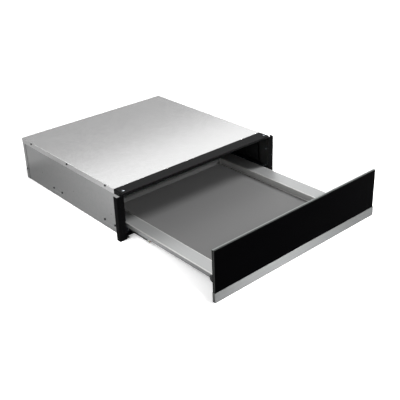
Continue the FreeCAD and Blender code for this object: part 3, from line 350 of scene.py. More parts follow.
@dataclass(frozen=True)
class GlassPanel(Finish):
    """Black-printed float glass: a still mirror face, and ground edges, drawn paler on the faces that look up
    as a painted highlight.
    """

    ground: str = "1c1e1d"
    # painted highlight: the ground faces that look up, above above_mm, are drawn paler than the sides
    top: str = "3c3f3e"
    above_mm: float = 125.0
    facing: tuple[float, float] = (0.95, 0.6)
    stretch: tuple[float, float, float] = (3.0, 1.0, 1.0)

    def pattern(self, tree: Tree) -> Socket:
        """Very long, faint roller waves of float glass."""
        return noise(tree, self.place(tree), detail=1.0)

    def surface(self, tree: Tree, shader: Socket) -> Socket:
        """Give every face but the front one the ground edge's colour and haze, paler on the faces that look
        up as a painted highlight.

        Args:
            tree: Material's node tree.
            shader: The face's shader.

        Returns:
            Shader socket.
        """
        own = add_node(tree, "ShaderNodeNewGeometry")
        front = add_node(tree, "ShaderNodeVectorMath", {0: own.outputs["True Normal"], 1: Vector((0, -1, 0))},
                         operation="DOT_PRODUCT").outputs["Value"]
        colour = mixed(tree, upper_edge(tree, self.above_mm), linear(self.ground), linear(self.top))
        ground = add_node(tree, "ShaderNodeBsdfPrincipled",
                          {"Base Color": colour, "Roughness": 0.4, "IOR": 1.5, "Specular IOR Level": 0.1})
        edge = ramp(tree, front, 0.0, 1.0, self.facing)
        return add_node(tree, "ShaderNodeMixShader", {0: edge, 1: shader, 2: ground.outputs[0]}).outputs[0]


@dataclass(frozen=True)
class PressedTray(Rolled):
    """The rolled sheet after pressing, with stripes along Y of painted highlight on the inner walls and the
    rims' bends, and of painted shade on the outer walls.
    """

    # Each stripe runs along Y: distance from the middle plane, half its width, lower end in mm, and tint.
    # Pale tints are painted highlights, the dark one is painted shade.
    bands: tuple[tuple[float, float, float, str], ...] = (
        (213.0, 0.9, 14.0, "e9e9e7"), (215.4, 1.5, 30.6, "b8b8b6"), (258.4, 1.2, 10.0, "848585"),
        (257.2, 1.7, 35.4, "c4c4c2"))

    def worn(self, tree: Tree, colour: Socket) -> Socket:
        """Paint the stripes: painted highlights where the tint is pale, painted shade where it is dark.

        Args:
            tree: Material's node tree.
            colour: Colour between the bands.

        Returns:
            Colour socket.
        """
        spot = axes(tree)
        away = maths(tree, "ABSOLUTE", spot["X"])
        for middle, half, low, tint in self.bands:
            near = maths(tree, "COMPARE", away, middle * MM, half * MM)
            high = maths(tree, "GREATER_THAN", spot["Z"], low * MM)
            colour = mixed(tree, maths(tree, "MULTIPLY", near, high), colour, linear(tint))
        return colour


@dataclass(frozen=True)
class PaperSweep(Finish):
    """Matt white paper that the camera sees whiter than it lights the object, the more so far away."""

    lift: tuple[float, float] = (0.4, 1.0)
    reach_m: tuple[float, float] = (1.1, 3.0)

    def surface(self, tree: Tree, shader: Socket) -> Socket:
        """Add the lift, which only the camera's own rays see.

        Args:
            tree: Material's node tree.
            shader: The paper's shader.

        Returns:
            Shader socket.
        """
        path = add_node(tree, "ShaderNodeLightPath")
        where = add_node(tree, "ShaderNodeTexCoord")
        away = add_node(tree, "ShaderNodeVectorMath", {0: where.outputs["Object"]}, operation="LENGTH")
        lift = ramp(tree, away.outputs["Value"], *self.lift, self.reach_m)
        strength = maths(tree, "MULTIPLY", path.outputs["Is Camera Ray"], lift)
        glow = add_node(tree, "ShaderNodeEmission", {"Strength": strength})
        return add_node(tree, "ShaderNodeAddShader", {0: shader, 1: glow.outputs[0]}).outputs[0]


class Finishes:
    """Every finish of the drawer. Colours are sRGB; metals keep the default IOR."""

    # Hot-dip galvanised sheet, rolled smooth: a bright neutral grey mirror haze, crystals just visible.
    GALVANISED = Spangled("galvanised_sheet_smooth_rolled", "919191", "959595", (0.20, 0.215), 1.0,
                          scale_mm=6.0, edge_mm=0.5, edge_pale=0.8)
    # The same sheet without the rolling pass: duller, the crystals show a little more, and a darker colour
    # than the top's that paints the shade on the sides and other panels.
    DULL_ZINC = Spangled("galvanised_sheet_dull", "787979", "7c7c7c", (0.275, 0.285), 1.0,
                         scale_mm=6.0, edge_mm=0.5, edge_pale=0.4)
    # Powder coat on steel: near black with orange peel, dull sheen, edges thinly coated.
    POWDER = Finish("black_powder_coated_steel", "0b0b0c", "101011", (0.50, 0.58), scale_mm=1.6,
                    relief_mm=0.02, edge_mm=0.5, edge_pale=0.10,
                    shader={"IOR": 1.5, "Specular IOR Level": 0.035})
    # The same coat on the uprights, the low rail and the caps, with a darker colour and less sheen that paint
    # their shade: deepest black.
    POWDER_DEEP = Finish("black_powder_coated_upright", "0a0a0b", "0e0e0f", (0.50, 0.58), scale_mm=1.6,
                         relief_mm=0.02, edge_mm=0.5, edge_pale=0.03,
                         shader={"IOR": 1.5, "Specular IOR Level": 0.01})
    # Pre-coated sheet cut to size: black faces, and a bright line along the upper edge: bare metal, painted
    # paler as a highlight on the faces that look up.
    CUT_SHEET = CutSheet("black_precoated_sheet_cut", "0c0c0d", "111112", (0.45, 0.55), scale_mm=2.5,
                         relief_mm=0.015, shader={"IOR": 1.5, "Specular IOR Level": 0.05})
    # Baked enamel: dark, glossier than the powder coat, faint mottling.
    ENAMEL = Finish("dark_baked_enamel", "19191a", "212122", (0.26, 0.36), scale_mm=2.5, relief_mm=0.01,
                    edge_mm=0.4, edge_pale=0.05, shader={"IOR": 1.52})
    # Mineral wool: yellowish matted fibres, no sheen at all.
    WOOL = Fibrous("mineral_wool_matted", "a79c7c", "d3caab", (0.9, 1.0), scale_mm=2.5, relief_mm=0.8)
    # Turned or pressed bare steel: bright with fine marks.
    BRIGHT = Finish("bright_steel_turned", "9b9c9e", "c4c5c6", (0.16, 0.28), 1.0, scale_mm=0.8,
                    relief_mm=0.004)
    # Lacquered iron can: mid grey, dull, slightly pebbled.
    MOTOR = Finish("grey_lacquered_iron", "55585c", "6a6d71", (0.42, 0.55), scale_mm=1.2, relief_mm=0.015,
                   edge_pale=0.1, shader={"IOR": 1.48})
    # Zinc plate with a clear passivation: bluish silver, slightly cloudy.
    ZINC = Finish("zinc_plate_clear_passivated", "8d949a", "b4babf", (0.24, 0.38), 1.0, scale_mm=3.0,
                  relief_mm=0.004, edge_pale=0.25)
    # Nickel alloy tube that heat has browned: dull metal in brown clouds.
    SHEATH = Finish("nickel_alloy_heat_browned", "4d443c", "75695a", (0.4, 0.55), 1.0, scale_mm=5.0,
                    relief_mm=0.01)
    # Glazed ceramic: off-white and glossy.
    CERAMIC = Finish("steatite_ceramic_glazed", "dcd9d0", "eeebe3", (0.2, 0.32), scale_mm=2.0, relief_mm=0.01,
                     shader={"IOR": 1.55})
    # Moulded ABS with a spark-eroded grain: black, soft sheen. The real grain of 0.1 mm is drawn coarser.
    PLASTIC = Finish("black_abs_moulded_grained", "1b1c1e", "242528", (0.42, 0.52), scale_mm=0.6,
                     relief_mm=0.02, edge_pale=0.05, shader={"IOR": 1.53})
    # Float glass, printed black on its back: a deep still black.
    GLASS = GlassPanel("black_printed_float_glass", "020203", "030304", (0.03, 0.05), scale_mm=120.0,
                       shader={"IOR": 1.5, "Specular IOR Level": 0.003})
    # Stainless strip brushed along its length: the light spreads across the scratches into a long streak.
    BRUSHED = Brushed("stainless_strip_brushed", "535454", "646565", (0.42, 0.48), 1.0, scale_mm=0.5,
                      relief_mm=0.004, edge_mm=0.3, shader={"Anisotropic": 0.9, "Anisotropic Rotation": 0.25})
    # Stainless sheet, cold rolled and annealed: an even satin haze.
    STAINLESS = Rolled("stainless_sheet_satin_rolled", "919292", "9a9b9b", (0.38, 0.44), 0.5, scale_mm=0.9,
                       relief_mm=0.003, edge_mm=0.4, edge_pale=0.3)
    # The same sheet after the press: bright lines along the rims' bends and inner walls as painted
    # highlights, and painted shade on the outer walls.
    TRAY = PressedTray("stainless_sheet_pressed", "929393", "9b9c9c", (0.38, 0.44), 0.3, scale_mm=0.9,
                       relief_mm=0.003, edge_mm=0.4)
    # Moulded rubber: black and dry.
    RUBBER = Finish("black_rubber_moulded", "131313", "1e1e1e", (0.7, 0.82), scale_mm=1.0, relief_mm=0.02,
                    shader={"IOR": 1.52})
    # Moulded silicone: matt grey with a soft sheen and a fine grain.
    SILICONE = Finish("grey_silicone_moulded", "595959", "606060", (0.55, 0.66), scale_mm=1.2, relief_mm=0.03,
                      edge_mm=0.4, shader={"IOR": 1.41})
    # Clear amber acrylic, polished.
    LENS = Finish("amber_acrylic_polished", "c46a12", "dd8420", (0.08, 0.14), scale_mm=2.0,
                  shader={"IOR": 1.49, "Transmission Weight": 0.35})
    # Black oxide on steel screws: nearly black, oily sheen.
    DARK_OXIDE = Finish("steel_screw_black_oxide", "17181a", "242528", (0.34, 0.44), 1.0, scale_mm=0.8,
                        relief_mm=0.01, edge_pale=0.08)
    # Rolled runner steel with zinc plate.
    RUNNER = Finish("runner_steel_zinc_plated", "868b90", "a4a9ad", (0.24, 0.34), 1.0, scale_mm=4.0,
                    relief_mm=0.004, edge_pale=0.2)
    # Rolled runner steel, dipped black: dark with bare edges that the balls and handling keep bright.
    BLACK_RUNNER = Finish("runner_steel_black_dipped", "0e0f10", "18191a", (0.36, 0.46), scale_mm=3.0,
                          relief_mm=0.006, edge_mm=0.4, edge_pale=0.25, shader={"IOR": 1.5})
    # Moulded nylon: milky white, waxy.
    NYLON = Finish("natural_nylon_moulded", "c9c7c0", "dad8d2", (0.38, 0.48), scale_mm=1.5, relief_mm=0.01,
                   shader={"IOR": 1.53, "Subsurface Weight": 0.1})
    # Turned brass: warm yellow, bright.
    BRASS = Finish("brass_turned", "a98a4a", "c2a461", (0.22, 0.34), 1.0, scale_mm=0.7, relief_mm=0.005)
    # Pad-printed ink: plain white, slightly broken at its edges.
    INK = Finish("white_pad_printed_ink", "c9cacb", "dcdddd", (0.5, 0.6), scale_mm=0.4, relief_mm=0.004,
                 shader={"IOR": 1.5})
    # Chrome on a turned ring: mirror bright.
    CHROME = Finish("chrome_plate_polished", "b9bbbd", "c9cbcd", (0.07, 0.12), 1.0, scale_mm=2.0)
    # Matt paper under and behind the object.
    PAPER = PaperSweep("white_paper_matt", "f7f7f7", "fafafa", (0.7, 0.8), scale_mm=400.0,
                       shader={"Specular IOR Level": 0.2})


FINISH_OF_SLOT: dict[str, Finish] = {
    "galvanised_steel": Finishes.DULL_ZINC, "black_enamel": Finishes.POWDER, "mineral_wool": Finishes.WOOL,
    "bright_steel": Finishes.BRIGHT, "motor_grey": Finishes.MOTOR, "zinc_plated": Finishes.ZINC,
    "heater_sheath": Finishes.SHEATH, "white_ceramic": Finishes.CERAMIC, "black_plastic": Finishes.PLASTIC,
    "black_glass": Finishes.GLASS, "brushed_trim": Finishes.BRUSHED, "stainless_sheet": Finishes.STAINLESS,
    "black_rubber": Finishes.RUBBER, "grey_silicone": Finishes.SILICONE, "amber_lens": Finishes.LENS,
    "dark_screws": Finishes.DARK_OXIDE, "runner_steel": Finishes.RUNNER,
}
SLOT_OF_NODE: dict[str, str] = {part["node"]: part["material_slot"] for part in frame["record"]["subparts"]}


# --- Mesh helpers ---
def linked(name: str, data: bpy.types.ID) -> Piece:
    """Put data into the scene.

    Args:
        name: Object's name.
        data: Mesh, lamp or camera.

    Returns:
        The object that holds it.
    """
    made = bpy.data.objects.new(name, data)
    bpy.context.scene.collection.objects.link(made)
    return made


def make_piece(name: str, mesh: Mesh, finish: Finish, body: str,
               smooth: bool = False) -> Piece:
    """Turn a bmesh into a piece of the object.

    Args:
        name: Piece's name.
        mesh: Its mesh, which is freed.
        finish: Its surface.
        body: CAD body that it rides on.
        smooth: Whether its faces are shaded smooth.

    Returns:
        The piece.
    """
    data = bpy.data.meshes.new(name)
    bmesh.ops.recalc_face_normals(mesh, faces=mesh.faces)
    mesh.to_mesh(data)
    mesh.free()
    for face in data.polygons:
        face.use_smooth = smooth
    data.materials.append(finish.material())
    piece = linked(name, data)
    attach(piece, body)
    return piece


def joined_copy(node: str) -> Mesh:
    """Copy of a CAD node's mesh with its split edges joined, for measuring. The node stays as it is.

    Args:
        node: CAD node's name.

    Returns:
        New bmesh.
    """
    mesh = bmesh.new()
    mesh.from_mesh(frame["nodes"][node].data)
    bmesh.ops.remove_doubles(mesh, verts=mesh.verts, dist=JOIN_MM * MM)
    return mesh


def islands(mesh: Mesh) -> list[list[bmesh.types.BMVert]]:
    """Split a mesh into its separate solids.

    Args:
        mesh: Joined mesh.

    Returns:
        Vertices of each solid.
    """
    seen: set[bmesh.types.BMVert] = set()
    found = []
    for first in mesh.verts:
        if first in seen:
            continue
        seen.add(first)
        group = [first]
        for vert in group:
            fresh = [edge.other_vert(vert) for edge in vert.link_edges]
            fresh = [other for other in fresh if other not in seen]
            seen.update(fresh)
            group.extend(fresh)
        found.append(group)
    return found


def loft(mesh: Mesh, rings: Sequence[Sequence[Vector]], looped: bool = False) -> None:
    """Skin a row of rings that have the same number of points.

    Args:
        mesh: Mesh that gets the skin.
        rings: Points of each ring, in order.
        looped: Whether the last ring joins the first, as in a torus. Otherwise both ends are closed.
    """
    rows = [[mesh.verts.new(point) for point in ring] for ring in rings]
    count = len(rows[0])
    following = rows[1:] + rows[:1] if looped else rows[1:]
    for first, second in zip(rows, following):
        for index in range(count):
            after = (index + 1) % count
            mesh.faces.new((first[index], first[after], second[after], second[index]))
    if not looped:
        mesh.faces.new(rows[0][::-1])
        mesh.faces.new(rows[-1])


def turned(mesh: Mesh, centre: Vector, axis: Vector, profile_mm: Profile, steps: int = 32,
           lobes: int = 0, dip: float = 0.0, looped: bool = False) -> Mesh:
    """Add a turned solid, with lobes round it if wanted.

    Args:
        mesh: Mesh that gets it.
        centre: Where the profile's heights start.
        axis: Direction of the heights, of length 1.
        profile_mm: Radius and height of each ring, from one end to the other.
        steps: Points of a ring without lobes.
        lobes: Lobes round each ring, or 0 for a round one.
        dip: How far the ring dips between lobes, as a share of its radius.
        looped: Whether the profile closes on itself, round a hole.

    Returns:
        The mesh.
    """
    turn = axis.to_track_quat("Z", "Y")
    count = lobes * LOBE_POINTS or steps
    angles = [2 * math.pi * index / count for index in range(count)]
    shares = [1 - dip * (0.5 - 0.5 * math.cos(lobes * angle)) for angle in angles]
    outline = [(share * math.cos(angle), share * math.sin(angle)) for share, angle in zip(shares, angles)]
    loft(mesh, [[centre + turn @ Vector((radius * x, radius * y, height)) * MM for x, y in outline]
                for radius, height in profile_mm], looped)
    return mesh


def soften(mesh: Mesh, width_mm: float) -> None:
    """Round the sharp edges of a mesh.

    Args:
        mesh: Mesh to work on.
        width_mm: Width of the rounding.
    """
    sharp = [edge for edge in mesh.edges
             if len(edge.link_faces) == 2 and edge.calc_face_angle() > SHARP_ANGLE]
    bmesh.ops.bevel(mesh, geom=sharp, offset=width_mm * MM, segments=2, affect="EDGES", profile=0.5)


def lettering(mesh: Mesh, word: str, centre: Vector, height_mm: float, rise_mm: float) -> None:
    """Add raised characters that lie flat and read from the front.

    Args:
        mesh: Mesh that gets them.
        word: What they say.
        centre: Middle of the word, on the surface.
        height_mm: Height of a capital letter.
        rise_mm: How far they stand up.
    """
    curve = bpy.data.curves.new("lettering", "FONT")
    curve.body = word
    curve.size = height_mm * MM / CAPITAL_SHARE
    curve.align_x = curve.align_y = "CENTER"
    curve.extrude = rise_mm * MM / 2
    curve.resolution_u = 3
    holder = bpy.data.objects.new("lettering", curve)
    data = bpy.data.meshes.new_from_object(holder)
    data.transform(Matrix.Translation(centre + Vector((0, 0, rise_mm * MM / 2))))
    mesh.from_mesh(data)
    bpy.data.objects.remove(holder)
    bpy.data.curves.remove(curve)
    bpy.data.meshes.remove(data)


def drape(mesh: Mesh, node: str) -> None:
    """Drop a flat mesh that starts at height 0 onto the upper side of a CAD node.

    Args:
        mesh: Mesh to move, whose heights become heights above the node.
        node: CAD node's name.
    """
    source = joined_copy(node)
    tree = BVHTree.FromBMesh(source)
    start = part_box(node)[1][2] + DROP_MM * MM
    for vert in mesh.verts:
        found = tree.ray_cast(Vector((vert.co.x, vert.co.y, start)), -UP)[0]
        if found is not None:
            vert.co.z += found.z
    source.free()


def corners_of(node: str) -> tuple[Vector, Vector, Vector]:
    """Lowest and highest corners of a CAD node, and the middle between them."""
    low, high = (Vector(corner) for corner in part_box(node))
    return low, high, (low + high) / 2


def table(pairs: dict) -> dict:
    """Dataclass field that starts as a copy of this table."""
    return field(default_factory=lambda: dict(pairs))


# --- Sub-assemblies ---
@dataclass
class ScrewDrives:
    """Dark lobed drive recesses in the heads of one node's screws."""

    body: str
    # Radius of each ring as a share of the head's, and its height as a share of the rise.
    recess: Profile = ((0.616, 0.0), (0.55, 1.0), (0.275, 0.3))
    rise_mm: float = 0.08
    lobes: int = 6
    dip: float = 0.28
    rim_share: float = 0.97

    def build(self, node: str) -> Piece:
        """Make the recesses of a node as one piece.

        Args:
            node: CAD node with one solid per screw.

        Returns:
            The piece.
        """
        source = joined_copy(node)
        made = bmesh.new()
        for screw in islands(source):
            self.add_recess(made, [vert.co.copy() for vert in screw])
        source.free()
        return make_piece(node + "_drives", made, Finishes.DARK_OXIDE, self.body)

    def add_recess(self, mesh: Mesh, points: list[Vector]) -> None:
        """Add a thin dished plate on the head that the points describe.

        Args:
            mesh: Mesh that gets it.
            points: Vertices of one screw.
        """
        low = Vector(min(p[i] for p in points) for i in range(3))
        high = Vector(max(p[i] for p in points) for i in range(3))
        size, centre = high - low, (low + high) / 2
        along = min(range(3), key=lambda i: abs(size[(i + 1) % 3] - size[(i + 2) % 3]))
        across = [i for i in range(3) if i != along]
        radius = size[across[0]] / 2
        head = [p[along] for p in points
                if math.hypot(*(p[i] - centre[i] for i in across)) > radius * self.rim_share]
        axis = Vector((0, 0, 0))
        axis[along] = 1 if sum(head) / len(head) > centre[along] else -1
        centre[along] = (high if axis[along] > 0 else low)[along]
        profile = tuple((radius / MM * share, self.rise_mm * rise) for share, rise in self.recess)
        turned(mesh, centre, axis, profile, lobes=self.lobes, dip=self.dip)


@dataclass
class Assembly:
    """CAD nodes that belong together, with their finishes and the detail pieces that go on them.

    The table special holds the nodes that don't take their slot's finish, and screws the body
    that each node of screws rides on.
    """

    nodes: tuple[str, ...] = ()
    special: dict[str, Finish] = table({})
    screws: dict[str, str] = table({})

    def dress(self) -> int:
        """Give each node its finish: a special one, or the one of its slot in the record.

        Returns:
            How many nodes were dressed.
        """
        for name in self.nodes:
            node = frame["nodes"][name]
            node.data.materials.clear()
            node.data.materials.append(self.special.get(name, FINISH_OF_SLOT[SLOT_OF_NODE[name]]).material())
        return len(self.nodes)

    def build(self) -> Iterator[Piece]:
        """Make the pieces: here the drive recesses of the screws, by node and body."""
        for node, body in self.screws.items():
            yield ScrewDrives(body).build(node)


@dataclass
class Casing(Assembly):
    """The galvanised box that stands still, and the gland in its rear."""

    nodes: tuple[str, ...] = ("top_cover", "side_panel_left", "side_panel_right", "base_panel", "rear_panel",
                              "cover_screws", "cord_gland", "cord_gland_nut")
    special: dict[str, Finish] = table({
        "top_cover": Finishes.GALVANISED, "cover_screws": Finishes.DARK_OXIDE})
    screws: dict[str, str] = table({"cover_screws": "casing"})
    grip_start_mm: tuple[float, float, float] = (216.0, 278.0, 58.0)
    grip_mm: Profile = ((9.504, 0.0), (9.9, 0.6), (9.9, 4.25), (9.405, 5.0))
    grip_lobes: int = 20
    grip_dip: float = 0.03

    def build(self) -> Iterator[Piece]:
        """Make the screws' drives and the gland's grip."""
        yield from super().build()
        yield self.gland_grip()

    def gland_grip(self) -> Piece:
        """Fluted ring round the gland's dome, for turning it by hand.

        Returns:
            The piece.
        """
        made = turned(bmesh.new(), Vector(self.grip_start_mm) * MM, Vector((0, 1, 0)), self.grip_mm,
                      lobes=self.grip_lobes, dip=self.grip_dip)
        return make_piece("cord_gland_grip", made, Finishes.PLASTIC, "casing")


@dataclass
class MouthFrame(Assembly):
    """The black bar, uprights and low rail round the mouth."""

    nodes: tuple[str, ...] = ("front_top_bar", "front_post_left", "front_post_right", "front_bottom_rail",
                              "post_screws")
    # the uprights and the low rail take the darker coat, as painted shade
    special: dict[str, Finish] = table({
        "front_post_left": Finishes.POWDER_DEEP, "front_post_right": Finishes.POWDER_DEEP,
        "front_bottom_rail": Finishes.POWDER_DEEP})
    screws: dict[str, str] = table({"post_screws": "casing"})
    cap_place_mm: tuple[float, float] = (287.4, -272.5)
    cap_heights_mm: tuple[float, ...] = (25.0, 105.0)
    cap_mm: Profile = ((1.92, -2.0), (2.112, 0.0), (3.2, 0.0), (3.104, 0.36), (2.4, 0.68), (0.96, 0.8))
    cap_steps: int = 24

    def build(self) -> Iterator[Piece]:
        """Make the screws' drives and the caps."""
        yield from super().build()
        yield self.hole_caps()

    def hole_caps(self) -> Piece:
        """Low black caps that close the cabinet screws' holes until they are used.

        Returns:
            The piece.
        """
        made = bmesh.new()
        x, y = self.cap_place_mm
        for side in Side:
            for height in self.cap_heights_mm:
                turned(made, Vector((side.value * x, y, height)) * MM, Vector((0, -1, 0)), self.cap_mm,
                       self.cap_steps)
        return make_piece("carcass_hole_caps", made, Finishes.POWDER_DEEP, "casing")


@dataclass
class Lining(Assembly):
    """The dark shell inside and the wool above it."""

    nodes: tuple[str, ...] = ("inner_shell", "insulation_blanket", "shell_screws")
    special: dict[str, Finish] = table({
        "inner_shell": Finishes.ENAMEL, "shell_screws": Finishes.DARK_OXIDE})
    screws: dict[str, str] = table({"shell_screws": "casing"})


@dataclass
class HeaterBox(Assembly):
    """The baffle and the fan heater behind it."""

    nodes: tuple[str, ...] = ("rear_baffle", "fan_motor", "motor_strap", "heater_element", "thermal_cutout",
                              "terminal_block", "fan_impeller", "fan_shaft")
    special: dict[str, Finish] = table({"rear_baffle": Finishes.ENAMEL})
    clamps_per_row: int = 5
    clamp_rows: tuple[float, float] = (0.28, 0.72)
    clamp_mm: Profile = ((2.2, 0.0), (2.2, 0.7), (1.87, 1.0))
    clamp_dip: float = 0.12

    def build(self) -> Iterator[Piece]:
        """Make the terminal block's clamps."""
        yield from super().build()
        yield self.clamp_screws()

    def clamp_screws(self) -> Piece:
        """Two rows of slotted brass clamp screws on the terminal block.

        Returns:
            The piece.
        """
        low, high, _ = corners_of("terminal_block")
        made = bmesh.new()
        for row in self.clamp_rows:
            for place in range(self.clamps_per_row):
                share = (place + 0.5) / self.clamps_per_row
                centre = Vector((low.x + (high.x - low.x) * share, low.y + (high.y - low.y) * row, high.z))
                turned(made, centre, UP, self.clamp_mm, lobes=2, dip=self.clamp_dip)
        return make_piece("terminal_clamps", made, Finishes.BRASS, "casing")


@dataclass
class Runners(Assembly):
    """Both telescopic ball runners with their brackets."""

    nodes: tuple[str, ...] = tuple(
        f"{name}_{side.word}" for side in Side
        for name in ("runner_bracket", "runner_fixed", "runner_middle", "runner_drawer",
                     "ball_cage_outer", "ball_cage_inner")) + ("runner_screws", "member_screws")
    special: dict[str, Finish] = table({
        "runner_middle_left": Finishes.BLACK_RUNNER, "runner_middle_right": Finishes.BLACK_RUNNER,
        "runner_screws": Finishes.DARK_OXIDE})
    screws: dict[str, str] = table({"runner_screws": "casing", "member_screws": "drawer"})
    tip_length_mm: float = 7.0
    tip_wall_mm: float = 0.7
    tip_lip_mm: float = 0.6
    tip_lap_mm: float = 1.15  # inside the member's outer faces: its sheet and a little more
    tip_round_mm: float = 0.25

    def build(self) -> Iterator[Piece]:
        """Make the screws' drives and both tips."""
        yield from super().build()
        yield from map(self.tip, Side)

    def tip(self, side: Side) -> Piece:
        """Pale nylon shoe round the front end of a middle member, open towards the drawer.

        Args:
            side: Which runner.

        Returns:
            The piece.
        """
        low, high, _ = corners_of(f"runner_middle_{side.word}")
        wall, lap = self.tip_wall_mm * MM, self.tip_lap_mm * MM
        back, mouth = (low.x, high.x) if side is Side.LEFT else (high.x, low.x)
        out = side.value
        outer = ((mouth, low.z - wall), (back + out * wall, low.z - wall),
                 (back + out * wall, high.z + wall), (mouth, high.z + wall))
        inner = ((mouth, high.z - lap), (back - out * lap, high.z - lap),
                 (back - out * lap, low.z + lap), (mouth, low.z + lap))
        front = low.y - self.tip_lip_mm * MM
        made = bmesh.new()
        loft(made, [[Vector((x, y, z)) for x, z in outer + inner]
                    for y in (front, front + self.tip_length_mm * MM)])
        soften(made, self.tip_round_mm)
        return make_piece(f"runner_tip_{side.word}", made, Finishes.NYLON, f"middle_{side.word}")


@dataclass
class PushLatch(Assembly):
    """The hook on the rear wall and the striker on the tray."""

    nodes: tuple[str, ...] = ("latch_frame", "latch_pivot", "latch_hook", "latch_striker")


@dataclass
class DrawerFront(Assembly):
    """The glass, its steel strip, and the carrier and stiffener behind them."""

    nodes: tuple[str, ...] = ("front_glass", "front_carrier", "front_trim", "front_stiffener",
                              "front_buffers", "front_bracket_left", "front_bracket_right", "bracket_screws")
    special: dict[str, Finish] = table({
        "front_carrier": Finishes.CUT_SHEET, "front_bracket_left": Finishes.BLACK_RUNNER,
        "front_bracket_right": Finishes.BLACK_RUNNER})
    screws: dict[str, str] = table({"bracket_screws": "drawer"})


@dataclass
class Tray(Assembly):
    """The stainless tray with its mat, on two rails."""

    nodes: tuple[str, ...] = ("drawer_tray", "tray_mat", "tray_rail_left", "tray_rail_right")
    special: dict[str, Finish] = table({"drawer_tray": Finishes.TRAY})


@dataclass
class Controls(Assembly):
    """The console behind the front, with its knob, rocker and lamp."""

    nodes: tuple[str, ...] = ("control_console", "thermostat", "switch_body", "indicator_lens",
                              "temperature_knob", "switch_rocker")
    dial_ticks: int = 7
    dial_sweep: float = 270.0
    tick_mm: tuple[float, float] = (14.2, 16.1)
    tick_width_mm: float = 0.5
    pointer_mm: tuple[float, float] = (3.0, 11.0)
    pointer_width_mm: float = 1.0
    ink_mm: float = 0.05
    numbers: tuple[tuple[str, float, float], ...] = (("30", -16.0, -13.6), ("80", 16.0, -13.6))
    number_height_mm: float = 3.0
    signs: tuple[tuple[str, float], ...] = (("I", -5.2), ("O", 5.2))
    sign_height_mm: float = 3.4
    grip_mm: Profile = ((13.2165, -11.5), (13.35, -10.5), (13.35, -3.0), (13.14975, -2.0))
    grip_lobes: int = 30
    grip_dip: float = 0.045
    bezel_mm: Profile = ((3.7, 0.0), (3.7, 0.6), (3.922, 0.8), (4.32, 0.7), (4.8, 0.3), (4.8, 0.0))

    def build(self) -> Iterator[Piece]:
        """Make the marks, the knob's grip and pointer, the rocker's signs and the lamp's bezel.

        Yields:
            The pieces.
        """
        yield from super().build()
        _, high, middle = corners_of("temperature_knob")
        middle.z = 0
        yield self.dial(middle)
        yield self.knob_grip(middle + UP * high.z)
        yield self.knob_pointer(middle)
        yield self.rocker_signs()
        yield self.lamp_bezel()

    def add_line(self, mesh: Mesh, middle: Vector, degrees: float, span_mm: tuple[float, float],
                 width_mm: float) -> None:
        """Add a thin line of ink that points away from the knob's middle.

        Args:
            mesh: Mesh that gets it.
            middle: Middle of the knob, at height 0.
            degrees: Direction of the line, clockwise from the rear.
            span_mm: Where it starts and ends, from the middle.
            width_mm: Its width.
        """
        angle = math.radians(degrees)
        out = Vector((math.sin(angle), math.cos(angle), 0)) * MM
        across = Vector((math.cos(angle), -math.sin(angle), 0)) * width_mm * MM / 2
        near, far = (middle + out * reach for reach in span_mm)
        corners = (near + across, far + across, far - across, near - across)
        loft(mesh, [corners, [corner + UP * self.ink_mm * MM for corner in corners]])

    def dial(self, middle: Vector) -> Piece:
        """Ticks round the knob and the temperatures at the ends of its turn.

        Args:
            middle: Middle of the knob, at height 0.

        Returns:
            The piece.
        """
        made = bmesh.new()
        for index in range(self.dial_ticks):
            degrees = (index / (self.dial_ticks - 1) - 0.5) * self.dial_sweep
            self.add_line(made, middle, degrees, self.tick_mm, self.tick_width_mm)
        for word, x, y in self.numbers:
            lettering(made, word, middle + Vector((x, y, 0)) * MM, self.number_height_mm, self.ink_mm)
        drape(made, "control_console")
        return make_piece("dial_marks", made, Finishes.INK, "drawer")

    def knob_grip(self, top: Vector) -> Piece:
        """Fluted sleeve round the knob, measured down from the middle of its top."""
        made = turned(bmesh.new(), top, UP, self.grip_mm, lobes=self.grip_lobes, dip=self.grip_dip)
        return make_piece("knob_grip", made, Finishes.PLASTIC, "knob")

    def knob_pointer(self, middle: Vector) -> Piece:
        """White line on the knob's top, at the low end of its turn.

        Args:
            middle: Middle of the knob, at height 0.

        Returns:
            The piece.
        """
        made = bmesh.new()
        self.add_line(made, middle, -self.dial_sweep / 2, self.pointer_mm, self.pointer_width_mm)
        drape(made, "temperature_knob")
        return make_piece("knob_pointer", made, Finishes.INK, "knob")

    def rocker_signs(self) -> Piece:
        """Line and ring on the rocker's two halves, for on and off.

        Returns:
            The piece.
        """
        _, _, middle = corners_of("switch_rocker")
        made = bmesh.new()
        for word, x in self.signs:
            lettering(made, word, Vector((middle.x + x * MM, middle.y, 0)), self.sign_height_mm, self.ink_mm)
        drape(made, "switch_rocker")
        return make_piece("rocker_signs", made, Finishes.INK, "rocker")

    def lamp_bezel(self) -> Piece:
        """Chromed ring round the lamp's lens.

        Returns:
            The piece.
        """
        _, _, middle = corners_of("indicator_lens")
        middle.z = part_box("control_console")[1][2]
        made = turned(bmesh.new(), middle, UP, self.bezel_mm, looped=True)
        return make_piece("lamp_bezel", made, Finishes.CHROME, "drawer", smooth=True)


